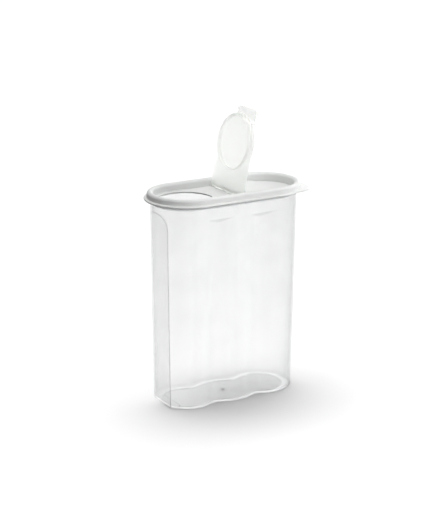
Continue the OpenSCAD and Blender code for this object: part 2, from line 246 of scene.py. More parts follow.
@dataclass(frozen=True)
class ClearPolypropylene:
    """Random-copolymer polypropylene, injection moulded and polished: clear with a faint haze.

    Face on, the wall hardly shows. Along its edges the haze gathers into grey lines: partly the longer way
    that the eye looks through the plastic, partly painted dark refraction. The haze also deepens towards the
    mouth as painted shade of the lid over the tub's upper part, and a darker band just under the lid's flange
    is its painted shadow.

    Attributes:
        haze: colour of the haze in the plastic.
        haze_dark: colour of the haze in the dark lines: the flange's painted shadow and the edge's painted
            dark refraction.
        face_alpha: how much one face of the wall hides when it is seen head on, at the foot.
        mouth_shade_alpha: the same near the mouth, raised as painted shade of the lid.
        edge_alpha: how much it hides when it is seen along its surface.
        edge_power: how late the edges gather their haze.
        line_alpha: how much the dark line along a crisp edge hides, partly thicker plastic, partly painted
            dark refraction.
        flange_shadow_alpha: how much the painted shadow under the lid's flange hides.
        shade_alpha: share of the light meeting the tub from outside that the wall holds back.
        foot_z: height in mm where the haze starts to deepen into the painted shade.
        mouth_z: height in mm where it is deepest.
        flange_shadow_z: height in mm where the painted shadow under the lid's flange starts.
        bead_z: height in mm where that painted shadow is darkest.
        bead_fade: height in mm over which it thins out above that.
        bead_share: share of that painted shadow that the bead itself keeps.
        cloud_size: size in mm of the faint clouds that the melt leaves.
        cloud_drift: how much the haze varies with those clouds, as a share.
        ripple_size: size in mm of the faint waves that cooling leaves in the wall.
        ripple_depth: depth in mm of those waves.
        ripple_strength: how strongly they tilt the surface, from 0 to 1.
        roughness: roughness of the polished wall.
        ior: refractive index of polypropylene.
    """

    haze: str = "#D0D3D4"
    haze_dark: str = "#868B8D"
    face_alpha: float = 0.048
    mouth_shade_alpha: float = 0.1
    edge_alpha: float = 0.38
    edge_power: float = 2.6
    line_alpha: float = 0.6
    flange_shadow_alpha: float = 0.92
    shade_alpha: float = 0.76
    foot_z: float = 60.0
    mouth_z: float = 226.0
    flange_shadow_z: float = 225.8
    bead_z: float = 230.2
    bead_fade: float = 1.6
    bead_share: float = 0.3
    cloud_size: float = 38.0
    cloud_drift: float = 0.14
    ripple_size: float = 22.0
    ripple_depth: float = 0.4
    ripple_strength: float = 0.25
    roughness: float = 0.16
    ior: float = 1.49

    def make(self) -> bpy.types.Material:
        """Builds the material.

        Returns:
            The finished material.
        """
        material = bpy.data.materials.new("clear_polypropylene_moulded")
        material.use_nodes = True
        tree = material.node_tree
        tree.nodes.clear()
        cloud, normal = melt_surface(
            tree, self.cloud_size, self.ripple_size, self.ripple_depth, self.ripple_strength
        )
        place = add_node(tree, "ShaderNodeTexCoord").outputs["Object"]
        height = add_node(tree, "ShaderNodeSeparateXYZ", {0: place}).outputs["Z"]
        # A mark reads as 0 on a piece that has none, such as the gate mark.
        rim = add_node(tree, "ShaderNodeAttribute", attribute_name="rim").outputs["Fac"]
        # Painted shadow of the lid's flange on the tub, just below the flange.
        painted_flange_shadow = self.painted_flange_shadow(tree, height)
        seen = self.veil(tree, height, cloud, rim, painted_flange_shadow)
        ray = add_node(tree, "ShaderNodeLightPath").outputs
        rays = {0: ray["Is Shadow Ray"], 1: ray["Is Diffuse Ray"]}
        lit = add_node(tree, "ShaderNodeMath", rays, operation="MAXIMUM")
        alpha = {0: lit, MIX_FIRST: seen, MIX_SECOND: self.held_light(tree)}
        shader = add_node(
            tree,
            "ShaderNodeBsdfPrincipled",
            {
                "Base Color": self.tint(tree, rim, painted_flange_shadow),
                "Alpha": add_node(tree, "ShaderNodeMix", alpha),
                "Normal": normal,
                "Roughness": self.roughness,
                "IOR": self.ior,
            },
        )
        add_node(tree, "ShaderNodeOutputMaterial", {"Surface": shader})
        return material

    def tint(
        self, tree: bpy.types.NodeTree, rim: bpy.types.NodeSocket, painted_flange_shadow: bpy.types.NodeSocket
    ) -> bpy.types.NodeSocket:
        """Colour of the haze; it throws no light on the floor, as clear plastic passes it on.

        Args:
            tree: the material's tree.
            rim: 1 along the crisp edge of the grip recess.
            painted_flange_shadow: share of the painted shadow under the lid's flange.

        Returns:
            The colour output.
        """
        # The dark line along the recess's edge and the painted shadow under the flange take the darker haze.
        darkened = add_node(tree, "ShaderNodeMath", {0: rim, 1: painted_flange_shadow}, operation="MAXIMUM")
        hazes = {0: darkened, MIX_FIRST_COLOUR: linear(self.haze), MIX_SECOND_COLOUR: linear(self.haze_dark)}
        haze = add_node(tree, "ShaderNodeMix", hazes, data_type="RGBA").outputs[MIX_COLOUR]
        bounced = add_node(tree, "ShaderNodeLightPath").outputs["Is Diffuse Ray"]
        tones = {0: bounced, MIX_FIRST_COLOUR: haze, MIX_SECOND_COLOUR: BLACK}
        return add_node(tree, "ShaderNodeMix", tones, data_type="RGBA").outputs[MIX_COLOUR]

    def painted_flange_shadow(self, tree: bpy.types.NodeTree, height: bpy.types.NodeSocket) -> bpy.types.NodeSocket:
        """Painted shadow of the lid's flange on the tub: darker haze gathers up to bead_z and thins out over
        the bead.

        Args:
            tree: the material's tree.
            height: height on the object in metres.

        Returns:
            The painted shadow's share, from 0 to 1.
        """
        low, high = self.flange_shadow_z * MM, self.bead_z * MM
        rise = {"Value": height, "From Min": low, "From Max": high}
        gather = add_node(tree, "ShaderNodeMapRange", rise)
        thin = add_node(
            tree,
            "ShaderNodeMapRange",
            {
                "Value": height,
                "From Min": high,
                "From Max": (self.bead_z + self.bead_fade) * MM,
                "To Min": 1.0,
                "To Max": self.bead_share,
            },
        )
        return add_node(tree, "ShaderNodeMath", {0: gather, 1: thin}, operation="MULTIPLY").outputs[0]

    def veil(
        self,
        tree: bpy.types.NodeTree,
        height: bpy.types.NodeSocket,
        cloud: bpy.types.NodeSocket,
        rim: bpy.types.NodeSocket,
        painted_flange_shadow: bpy.types.NodeSocket,
    ) -> bpy.types.NodeSocket:
        """How much the wall hides: by the angle it is seen at, its height, its clouds and its lines.

        Args:
            tree: the material's tree.
            height: height on the object in metres.
            cloud: the noise of the melt's clouds.
            rim: 1 along the crisp edge of the grip recess.
            painted_flange_shadow: share of the painted shadow under the lid's flange.

        Returns:
            The alpha that the eye sees.
        """
        # Edges seen along the surface hide more: partly the longer way through the plastic, partly painted
        # dark refraction.
        facing = add_node(tree, "ShaderNodeLayerWeight").outputs["Facing"]
        late = add_node(tree, "ShaderNodeMath", {0: facing, 1: self.edge_power}, operation="POWER")
        # Denser haze towards the mouth: painted shade of the lid over the tub's upper part.
        head_on = add_node(
            tree,
            "ShaderNodeMapRange",
            {
                "Value": height,
                "From Min": self.foot_z * MM,
                "From Max": self.mouth_z * MM,
                "To Min": self.face_alpha,
                "To Max": self.mouth_shade_alpha,
            },
        )
        plain = {0: late, MIX_FIRST: head_on, MIX_SECOND: self.edge_alpha}
        drift = add_node(
            tree,
            "ShaderNodeMapRange",
            {
                "Value": cloud,
                "From Min": NOISE_BAND[0],
                "From Max": NOISE_BAND[1],
                "To Min": 1 - self.cloud_drift,
                "To Max": 1 + self.cloud_drift,
            },
        )
        wall = {0: add_node(tree, "ShaderNodeMix", plain), 1: drift}
        hides = add_node(tree, "ShaderNodeMath", wall, operation="MULTIPLY")
        # The painted shadow under the flange and the dark line along the recess's edge hide more of what lies
        # behind.
        for line, share in ((painted_flange_shadow, self.flange_shadow_alpha), (rim, self.line_alpha)):
            darkened = add_node(tree, "ShaderNodeMath", {0: line, 1: share}, operation="MULTIPLY")
            hides = add_node(tree, "ShaderNodeMath", {0: hides, 1: darkened}, operation="MAXIMUM")
        return hides.outputs[0]

    def held_light(self, tree: bpy.types.NodeTree) -> bpy.types.NodeSocket:
        """The share of light that the wall holds back where light enters the half in shade.

        Args:
            tree: the material's tree.

        Returns:
            The alpha that light meets.
        """
        outside = add_node(tree, "ShaderNodeAttribute", attribute_name="shade").outputs["Fac"]
        leaving = add_node(tree, "ShaderNodeNewGeometry").outputs["Backfacing"]
        entering = add_node(tree, "ShaderNodeMath", {0: outside, 1: leaving}, operation="SUBTRACT")
        entered = add_node(tree, "ShaderNodeMath", {0: entering, 1: 0.0}, operation="MAXIMUM")
        share = {0: entered, 1: self.shade_alpha}
        return add_node(tree, "ShaderNodeMath", share, operation="MULTIPLY").outputs[0]


@dataclass(frozen=True)
class SatinPlastic:
    """A plastic moulded in a tool with a satin surface.

    The fine texture spreads the light, so the surface looks soft and even, with no mirror image.

    Attributes:
        name: what the material is and how it was made.
        colour: the plastic's colour.
        colour_deep: the colour where the melt is a little denser.
        roughness: roughness of the satin surface.
        milk: how much of the light passes through and scatters, from 0 for a solid colour to 1.
        ior: refractive index.
        sheen: strength of the surface's reflection, 0.5 for a polished one.
        grain_size: size in mm of the mould's texture, drawn coarse enough to show.
        grain_depth: depth in mm of that texture.
        grain_strength: how strongly it tilts the surface, from 0 to 1.
        cloud_size: size in mm of the faint clouds in the colour.
        cloud_drift: how much the roughness varies with those clouds.
    """

    name: str
    colour: str
    colour_deep: str
    roughness: float
    milk: float = 0.0
    ior: float = 1.51
    sheen: float = 0.05
    grain_size: float = 0.9
    grain_depth: float = 0.02
    grain_strength: float = 0.3
    cloud_size: float = 30.0
    cloud_drift: float = 0.03

    def make(self) -> bpy.types.Material:
        """Builds the material.

        Returns:
            The finished material.
        """
        material = bpy.data.materials.new(self.name)
        material.use_nodes = True
        tree = material.node_tree
        tree.nodes.clear()
        cloud, normal = melt_surface(
            tree, self.cloud_size, self.grain_size, self.grain_depth, self.grain_strength
        )
        tones = {0: cloud, MIX_FIRST_COLOUR: linear(self.colour), MIX_SECOND_COLOUR: linear(self.colour_deep)}
        rough = {
            "Value": cloud,
            "From Min": NOISE_BAND[0],
            "From Max": NOISE_BAND[1],
            "To Min": self.roughness - self.cloud_drift,
            "To Max": self.roughness + self.cloud_drift,
        }
        shader = add_node(
            tree,
            "ShaderNodeBsdfPrincipled",
            {
                "Base Color": add_node(tree, "ShaderNodeMix", tones, data_type="RGBA").outputs[MIX_COLOUR],
                "Normal": normal,
                "Roughness": add_node(tree, "ShaderNodeMapRange", rough),
                "IOR": self.ior,
                "Transmission Weight": self.milk,
                "Specular IOR Level": self.sheen,
            },
        )
        add_node(tree, "ShaderNodeOutputMaterial", {"Surface": shader})
        return material


# Polyethylene with a white pigment: solid and even, with a soft matt white.
WHITE_POLYETHYLENE = SatinPlastic(
    name="white_polyethylene_moulded", colour="#DFE0DF", colour_deep="#DCDDDC", roughness=0.5
)
# Polypropylene without a pigment: milky, so light passes into it and scatters, and its thin parts glow.
MILKY_POLYPROPYLENE = SatinPlastic(
    name="milky_polypropylene_moulded",
    colour="#FAFBF9",
    colour_deep="#F7F8F6",
    roughness=0.6,
    milk=0.96,
    ior=1.4,
)


# ---------------------------------------------------------------------------------------------
# Outlines, and the skins between them
# ---------------------------------------------------------------------------------------------


@dataclass(frozen=True)
class Column:
    """One upright of a skin round the stadium.

    Attributes:
        foot: place of its foot along the centre line.
        out_x: share of X in its way outwards.
        out_y: share of Y in its way outwards.
    """

    foot: float
    out_x: float
    out_y: float

    def at(self, reach: float) -> Flat:
        """The point that lies reach mm outwards from the foot."""
        return (self.foot + reach * self.out_x, reach * self.out_y)


@dataclass(frozen=True)
class Stadium:
    """Plan outline with two round ends and two straight sides.

    Attributes:
        span: distance between the centres of the two round ends.
        mid_x: place of the outline's middle along X.
        end_steps: columns in each quarter of a round end.
        side_steps: columns along each straight side.
    """

    span: float
    mid_x: float
    end_steps: int = 60
    side_steps: int = 130

    def columns(self) -> list[Column]:
        """The columns in order.

        Returns:
            The columns, counter-clockwise seen from above, from the middle of the +X end.
        """
        east = self.mid_x + self.span / 2
        west = self.mid_x - self.span / 2
        quarter = 90 / self.end_steps
        found = [self._turn(east, quarter * i) for i in range(self.end_steps)]
        found += [Column(east - self.span * i / self.side_steps, 0.0, 1.0) for i in range(self.side_steps)]
        found += [self._turn(west, 90 + quarter * i) for i in range(2 * self.end_steps)]
        found += [Column(west + self.span * i / self.side_steps, 0.0, -1.0) for i in range(self.side_steps)]
        found += [self._turn(east, 270 + quarter * i) for i in range(self.end_steps)]
        return found

    @staticmethod
    def _turn(foot: float, degrees: float) -> Column:
        """A column that looks out from a round end's centre."""
        angle = math.radians(degrees)
        return Column(foot, math.cos(angle), math.sin(angle))


def weave(rings: Sequence[Sequence[Point]], first: int = 0, closed: bool = False) -> list[list[int]]:
    """Joins rings of equal length with quads.

    Args:
        rings: rings of points, counter-clockwise seen from above. Faces look right of the way from
            one ring to the next: outwards on the way up, inwards on the way down.
        first: the number of the first ring's first point.
        closed: True if the last ring joins the first.

    Returns:
        The quads between neighbouring rings.
    """
    count = len(rings[0])
    faces = []
    for j in range(len(rings) if closed else len(rings) - 1):
        low = first + j * count
        high = first + ((j + 1) % len(rings)) * count
        for i in range(count):
            k = (i + 1) % count
            faces.append([low + i, low + k, high + k, high + i])
    return faces


def across(first: int, count: int, look: Face) -> list[list[int]]:
    """Fills a ring that is its own mirror image with strips from one side to the other.

    Args:
        first: the number of the ring's first point, which lies on the mirror line.
        count: how many points the ring has.
        look: which way the sheet faces.

    Returns:
        The strips, each with three or four corners.
    """
    strips = []
    for k in range(count // 2):
        ring = [k, k + 1, count - k - 1, (count - k) % count]
        corners = [first + n for n in dict.fromkeys(ring)]
        strips.append(corners if look is Face.UP else corners[::-1])
    return strips


def circle(middle_x: float, radius: float, z: float, steps: int) -> list[Point]:
    """A level circle round a place on the X axis, counter-clockwise seen from above."""
    turns = [math.tau * i / steps for i in range(steps)]
    return [(middle_x + radius * math.cos(a), radius * math.sin(a), z) for a in turns]


def shut_tube(rings: Sequence[Sequence[Point]]) -> list[list[int]]:
    """Joins rings of equal length with quads, and shuts the first and the last one.

    Args:
        rings: rings of points, turned as weave takes them.

    Returns:
        The quads and the two end faces.
    """
    count = len(rings[0])
    last = (len(rings) - 1) * count
    return weave(rings) + [list(range(count))[::-1], [last + i for i in range(count)]]


def flat_sheet(
    loops: Sequence[Sequence[int]],
    extra: Sequence[Sequence[Flat]],
    points: list[Point],
    height: Callable[[float, float], float],
    keep: Callable[[float, float], bool],
    look: Face,
) -> list[list[int]]:
    """Fills the plan between loops of existing points with triangles.

    Args:
        loops: closed loops of point numbers that the sheet keeps as edges.
        extra: open lines of new plan points that the sheet keeps as edges.
        points: all the piece's points, which get the new ones.
        height: height at a place on plan, for new points.
        keep: whether the sheet covers a place on plan.
        look: which way the sheet faces.

    Returns:
        The triangles, as numbers into points.
    """
    numbers: list[int] = [n for loop in loops for n in loop]
    edges: list[tuple[int, int]] = []
    start = 0
    for loop in loops:
        size = len(loop)
        edges += [(start + i, start + (i + 1) % size) for i in range(size)]
        start += size
    plan = [Vector(points[n][:2]) for n in numbers]
    for line in extra:
        edges += [(len(plan) + i, len(plan) + i + 1) for i in range(len(line) - 1)]
        plan += [Vector(p) for p in line]
    spots, _, cells, origins, _, _ = delaunay_2d_cdt(plan, edges, [], 0, PLAN_CLOSE)
    where: list[int] = []
    for spot, origin in zip(spots, origins):
        known = [o for o in origin if o < len(numbers)]
        if known:
            where.append(numbers[known[0]])
        else:
            where.append(len(points))
            points.append((spot.x, spot.y, height(spot.x, spot.y)))
    faces = []
    for cell in cells:
        x = sum(spots[i].x for i in cell) / len(cell)
        y = sum(spots[i].y for i in cell) / len(cell)
        if keep(x, y):
            order = cell if look is Face.UP else cell[::-1]
            faces.append([where[i] for i in order])
    return faces


# ---------------------------------------------------------------------------------------------
# The tub
# ---------------------------------------------------------------------------------------------


@dataclass(frozen=True)
class Tub:
    """The clear tub: drafted stadium wall, flutes, grip recess, foot ring and mouth bead.

    Attributes:
        overall_h: height of the lid's crest, which sets the mouth's height.
        span: distance between the centres of the round ends.
        mid_x: place of the tub's middle along X.
        base_r: outer radius of the ends at the table.
        top_r: outer radius of the ends at the mouth.
        wall: thickness of the side walls.
        floor: thickness of the floor.
        base_fillet: radius between the wall and the underside.
        least_fillet: least radius between the wall and the floor, inside.
        foot_h: height of the foot ring.
        foot_inset: distance from the wall to the inner edge of the foot ring.
        bead_out: reach of the bead round the mouth.
        bead_h: height of that bead.
        flute_x: distance of each flute from the middle of the long side.
        flute_w: width of a flute.
        flute_depth: depth of a flute.
        flute_top_gap: distance from the top of a flute to the mouth.
        ledge_slope: depth over height of the sloping ledge that ends a flute.
        ledge_blend: width over which the ledge rounds into the flute.
        recess_depth: depth of the grip recess.
        recess_top_gap: distance from the top of its arch to the mouth.
        recess_w: width of the arch.
        recess_corner_r: radius of the arch's corners.
        recess_riser: width on plan of the step at the recess's edge.
        recess_slope: height of the slope under the top of the arch.
        recess_blend: width over which the recess rounds into the round end.
        mouth_flat: width of the flat on top of the mouth.
        gate_r: radius of the small mark where the melt came in, under the floor.
        gate_h: height of that mark.
        gate_sunk: how far the mark reaches up into the floor.
        gate_round: part of a quarter turn, in degrees, over which the mark's end is domed.
        gate_rows: rows over that dome.
        gate_steps: columns round the mark.
        lid_skin: distance from the mouth to the lid's crest.
        fine: radius of the foot ring's small edges.
        rim_line: half width of the dark line along the recess's edge, which is partly painted dark
            refraction.
        end_steps: columns in each quarter of a round end.
        side_steps: columns along each straight side.
        face_steps: columns in each half of the grip recess's face.
        wall_rows: rows up the plain part of the wall.
        arch_rows: rows along the round corners of the arch.
        ledge_rows: rows up the flutes' ledges.
        ledge_over: how far those rows go on above the ledges.
        row_margin: distance kept clear above the fillet and below the ledges.
        row_gap: least distance between two rows.
        fillet_rows: rows round the fillets at the base.
        lip_rows: rows round each edge of the mouth.
        edge_offsets: distances of the columns and rows beside the recess's edge.
    """

    overall_h: float = 240.0
    span: float = 97.2
    mid_x: float = -4.95
    base_r: float = 35.8
    top_r: float = 38.95
    wall: float = 1.4
    floor: float = 1.6
    base_fillet: float = 2.0
    least_fillet: float = 1.0
    foot_h: float = 1.2
    foot_inset: float = 9.4
    bead_out: float = 2.05
    bead_h: float = 5.6
    flute_x: float = 26.5
    flute_w: float = 41.0
    flute_depth: float = 5.4
    flute_top_gap: float = 23.8
    ledge_slope: float = 1.0
    ledge_blend: float = 0.5
    recess_depth: float = 4.7
    recess_top_gap: float = 18.0
    recess_w: float = 37.2
    recess_corner_r: float = 15.5
    recess_riser: float = 0.6
    recess_slope: float = 4.0
    recess_blend: float = 0.5
    mouth_flat: float = 0.5
    gate_r: float = 1.9
    gate_h: float = 0.7
    gate_sunk: float = 0.2
    gate_round: Flat = (10.0, 80.0)
    gate_rows: int = 6
    gate_steps: int = 40
    lid_skin: float = 1.7
    fine: float = 0.25
    rim_line: float = 0.5
    end_steps: int = 56
    side_steps: int = 130
    face_steps: int = 14
    wall_rows: int = 16
    arch_rows: int = 34
    ledge_rows: int = 26
    ledge_over: float = 0.6
    row_margin: float = 1.0
    row_gap: float = 0.08
    fillet_rows: int = 12
    lip_rows: int = 8
    edge_offsets: tuple[float, ...] = (
        1.4, 1.0, 0.7, 0.5, 0.35, 0.2, 0.0, -0.2, -0.35, -0.5, -0.7, -1.0, -1.4
    )

    @property
    def mouth_z(self) -> float:
        """Height of the mouth, one lid wall and its gap under the crest."""
        return self.overall_h - self.lid_skin

    @property
    def foot_r(self) -> float:
        """Radius of the foot ring's inner edge, at which the floor starts and the outline stays round."""
        return self.base_r - self.foot_inset

    @property
    def cavity_z(self) -> float:
        """Height of the floor's upper face."""
        return self.foot_h + self.floor

    @property
    def inner_fillet(self) -> float:
        """Radius between the wall and the floor, inside."""
        return max(self.base_fillet - self.wall, self.least_fillet)

    @property
    def flute_z(self) -> float:
        """Height at which the flutes' ledges meet the wall."""
        return self.mouth_z - self.flute_top_gap

    @property
    def recess_z(self) -> float:
        """Height of the top of the grip recess's arch."""
        return self.mouth_z - self.recess_top_gap

    def radius(self, z: float) -> float:
        """Outer radius of the round ends at a height."""
        return self.base_r + (self.top_r - self.base_r) * z / self.mouth_z

    def inside_arch(self, y: float, z: float, grow: float) -> float:
        """Distance inside the arch's outline.

        Args:
            y: place across the end.
            z: height.
            grow: width by which the outline is grown.

        Returns:
            The distance, negative outside the arch.
        """
        corner = self.recess_corner_r + grow
        side = abs(y) - (self.recess_w / 2 + grow - corner)
        up = z - (self.recess_z + grow - corner)
        return corner - math.hypot(max(side, 0.0), max(up, 0.0)) - min(max(side, up), 0.0)

    def arch_half(self, z: float, grow: float) -> float:
        """Half width of the arch.

        Args:
            z: height.
            grow: width by which the outline is grown.

        Returns:
            The half width at that height.
        """
        corner = self.recess_corner_r + grow
        up = min(max(z - (self.recess_z + grow - corner), 0.0), corner)
        return self.recess_w / 2 + grow - corner + math.sqrt(corner * corner - up * up)

    def end_reach(self, r: float, y: float, z: float, grow: float) -> float:
        """How far the pouring end stands out at a place, with its grip recess.

        Args:
            r: radius of the round end for this surface.
            y: place across the end.
            z: height.
            grow: how far this surface lies inside the outer one.

        Returns:
            The distance from the end's centre line.
        """
        round_end = math.sqrt(max(r * r - y * y, 0.0))
        flat = r - self.recess_depth
        cut = -soft_max(-round_end, -flat, self.recess_blend)
        if r <= self.foot_r + self.fine:
            return round_end
        corner = self.recess_corner_r + grow
        up = max(z - (self.recess_z + grow - corner), 0.0)
        side = max(abs(y) - (self.recess_w / 2 + grow - corner), 0.0)
        upright = up / max(math.hypot(up, side), corner / 2)
        riser = self.recess_riser + (self.recess_slope - self.recess_riser) * upright * upright
        share = ease(self.inside_arch(y, z, grow) / riser)
        return round_end - share * max(round_end - cut, 0.0)

    def half_end(self, r: float, z: float, grow: float) -> list[Flat]:
        """Plan of the pouring end, with columns along the arch.

        Args:
            r: radius of the round end.
            z: height.
            grow: how far this surface lies inside the outer one.

        Returns:
            Plan points from the end's +Y side to its middle.
        """
        flat = r - self.recess_depth
        half = min(self.arch_half(z, grow), math.sqrt(r * r - flat * flat))
        reach = self.edge_offsets[0]
        start = math.pi / 2
        end = math.pi - math.asin(min((half + reach) / r, 1.0))
        turns = [start + (end - start) * i / self.end_steps for i in range(self.end_steps)]
        across_y = [r * math.sin(a) for a in turns]
        across_y += [half + offset for offset in self.edge_offsets]
        left = half + self.edge_offsets[-1]
        across_y += [left * (1 - i / self.face_steps) for i in range(1, self.face_steps + 1)]
        west = self.mid_x - self.span / 2
        return [(west - self.end_reach(r, y, z, grow), y) for y in across_y]

    def ring(self, r: float, z: float, grow: float) -> list[Point]:
        """One ring of the skin, counter-clockwise from the middle of the +X end.

        Args:
            r: radius of the round ends.
            z: height.
            grow: how far this surface lies inside the outer one.

        Returns:
            The ring's points, its second half the mirror image of the first.
        """
        east = self.mid_x + self.span / 2
        angles = [math.radians(90 * i / self.end_steps) for i in range(self.end_steps)]
        half = [(east + r * math.cos(a), r * math.sin(a)) for a in angles]
        half += [(east - self.span * i / self.side_steps, r) for i in range(self.side_steps)]
        half += self.half_end(r, z, grow)
        mirror = [(x, -y) for x, y in half[-2:0:-1]]
        return [(x, y, z) for x, y in half + mirror]

    def wall_heights(self, grow: float) -> list[float]:
        """Heights of the rows up the wall, close together at the ledges and along the arch.

        Args:
            grow: how far this surface lies inside the outer one.

        Returns:
            The heights, from the lowest up, none of them nearly alike.
        """
        low = self.base_fillet + self.row_margin
        ledge = self.flute_z - self.flute_depth / self.ledge_slope - self.row_margin
        corner = self.recess_corner_r + grow
        foot = self.recess_z + grow - corner
        over = self.flute_z + self.ledge_over
        heights = [low + (foot - low) * i / self.wall_rows for i in range(self.wall_rows)]
        heights += [foot + corner * math.sin(a) for a in arc(self.arch_rows)]
        heights += [ledge + (over - ledge) * i / self.ledge_rows for i in range(self.ledge_rows + 1)]
        heights += [self.recess_z + grow + offset for offset in self.edge_offsets]
        kept: list[float] = []
        for z in sorted(heights):
            if not kept or z - kept[-1] > self.row_gap:
                kept.append(z)
        return kept

    def rows(self) -> list[tuple[float, float, float]]:
        """The rings of the skin: out along the underside, up, over the mouth and down to the floor.

        Returns:
            Each ring's radius, its height and how far it lies inside the outer surface.
        """
        foot_r, fine = self.foot_r, self.fine
        rows: list[tuple[float, float, float]] = [
            (foot_r - fine, self.foot_h, 0.0),
            (foot_r, self.foot_h - fine, 0.0),
            (foot_r, fine, 0.0),
            (foot_r + fine, 0.0, 0.0),
        ]
        for a in arc(self.fillet_rows):
            z = self.base_fillet * (1 - math.cos(a))
            rows.append((self.radius(z) - self.base_fillet * (1 - math.sin(a)), z, 0.0))
        rows += [(self.radius(z), z, 0.0) for z in self.wall_heights(0.0)]
        bead_z = self.mouth_z - self.bead_h
        out = self.top_r + self.bead_out
        rows += [(self.radius(bead_z), bead_z, 0.0), (out, bead_z + self.bead_out / 2, 0.0)]
        lip = (self.wall + self.bead_out - self.mouth_flat) / 2
        for a in arc(self.lip_rows):
            rows.append((out - lip * (1 - math.cos(a)), self.mouth_z - lip * (1 - math.sin(a)), 0.0))
        inner = self.top_r - self.wall
        for a in arc(self.lip_rows, 90, 0):
            z = self.mouth_z - lip * (1 - math.sin(a))
            rows.append((inner + lip * (1 - math.cos(a)), z, self.wall))
        rows += [(self.radius(z) - self.wall, z, self.wall) for z in reversed(self.wall_heights(self.wall))]
        for a in arc(self.fillet_rows, 90, 0):
            z = self.cavity_z + self.inner_fillet * (1 - math.cos(a))
            rows.append((self.radius(z) - self.wall - self.inner_fillet * (1 - math.sin(a)), z, self.wall))
        rows.append((foot_r, self.cavity_z, self.wall))
        return rows

    def rim_mark(self, point: Point, grow: float) -> float:
        """1 along the recess's crisp outer edge, where the plastic is thickest and a painted dark refraction
        line lies, falling to 0 beside it.

        Args:
            point: a corner of the skin.
            grow: 0 on the outside, the wall's thickness on the inside.

        Returns:
            The mark.
        """
        x, y, z = point
        if grow > 0.0 or x > self.mid_x - self.span / 2:
            return 0.0
        off = self.inside_arch(y, z, 0.0) / self.rim_line
        return math.exp(-off * off)

    def shade_mark(self, point: Point, row: tuple[float, float, float]) -> float:
        """1 on the outside of the half that looks away from the light overhead, else 0.

        Args:
            point: a corner of the skin.
            row: the radius, the height and the growth of its ring.

        Returns:
            The mark, with a soft change along the middle of the ends.
        """
        radius, _, grow = row
        if grow > 0.0 or radius <= self.foot_r + self.fine:
            return 0.0
        return ease(0.5 - point[1] / self.base_r)

    def flute_tree(self, material: bpy.types.Material) -> bpy.types.NodeTree:
        """Geometry tree that presses the flutes into a plain stadium skin.

        Each flute is a raised cosine across the wall. A sloping ledge, taken off by a smooth
        minimum, ends it at the top, so the ledge shows as a crescent.

        Args:
            material: the finish that the pressed skin gets.

        Returns:
            The tree, with its sizes as named inputs in metres.
        """
        names = ["Middle", "Flute Place", "Flute Half Width", "Flute Depth"]
        names += ["Ledge Top", "Ledge Slope", "Ledge Blend"]
        tree = geometry_tree("press_flutes", names)
        given = add_node(tree, "NodeGroupInput").outputs
        spot = add_node(tree, "GeometryNodeInputPosition")
        x, y, z = add_node(tree, "ShaderNodeSeparateXYZ", {0: spot}).outputs
        known = {"x": x, "y": y, "z": z} | {name: given[name] for name in names}
        for name, operation, *terms in (
            ("from middle", "SUBTRACT", "x", "Middle"),
            ("side", "ABSOLUTE", "from middle"),
            ("off flute", "SUBTRACT", "side", "Flute Place"),
            ("part", "DIVIDE", "off flute", "Flute Half Width"),
            ("far", "ABSOLUTE", "part"),
            ("kept", "MINIMUM", "far", 1.0),
            ("turn", "MULTIPLY", "kept", math.pi),
            ("wave", "COSINE", "turn"),
            ("lift", "MULTIPLY_ADD", "wave", 0.5, 0.5),
            ("depth", "MULTIPLY", "lift", "Flute Depth"),
            ("below", "SUBTRACT", "Ledge Top", "z"),
            ("room", "MULTIPLY", "below", "Ledge Slope"),
            ("cut", "SMOOTH_MIN", "depth", "room", "Ledge Blend"),
            ("pressed", "MAXIMUM", "cut", 0.0),
            ("face", "SIGN", "y"),
            ("outwards", "MULTIPLY", "face", "pressed"),
            ("inwards", "MULTIPLY", "outwards", -1.0),
        ):
            inputs = {i: known.get(term, term) for i, term in enumerate(terms)}
            known[name] = add_node(tree, "ShaderNodeMath", inputs, operation=operation).outputs[0]
        offset = add_node(tree, "ShaderNodeCombineXYZ", {"Y": known["inwards"]})
        moved = add_node(tree, "GeometryNodeSetPosition", {"Geometry": given["Geometry"], "Offset": offset})
        real = add_node(tree, "GeometryNodeRealizeInstances", {"Geometry": moved})
        dressed = add_node(tree, "GeometryNodeSetMaterial", {"Geometry": real, "Material": material})
        add_node(tree, "NodeGroupOutput", {"Geometry": dressed})
        return tree

    def build(self, material: bpy.types.Material) -> list[bpy.types.Object]:
        """Makes the tub's skin and the gate mark.

        Args:
            material: the clear plastic.

        Returns:
            The pieces, the tub's skin first.
        """
        rows = self.rows()
        rings = [self.ring(*row) for row in rows]
        count = len(rings[0])
        points = [p for ring in rings for p in ring]
        faces = across(0, count, Face.DOWN) + weave(rings)
        faces += across((len(rings) - 1) * count, count, Face.UP)
        skin = new_piece("tub_skin", points, faces, material)
        mark_points(skin, "shade", [self.shade_mark(p, row) for row, ring in zip(rows, rings) for p in ring])
        mark_points(skin, "rim", [self.rim_mark(p, row[2]) for row, ring in zip(rows, rings) for p in ring])
        bake_tree(
            skin,
            self.flute_tree(material),
            {
                "Middle": self.mid_x * MM,
                "Flute Place": self.flute_x * MM,
                "Flute Half Width": self.flute_w / 2 * MM,
                "Flute Depth": self.flute_depth * MM,
                "Ledge Top": self.flute_z * MM,
                "Ledge Slope": self.ledge_slope,
                "Ledge Blend": self.ledge_blend * MM,
            },
        )
        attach(skin, Body.CONTAINER.value)
        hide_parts("tub")
        gate = self.build_gate(material)
        return [skin, gate]

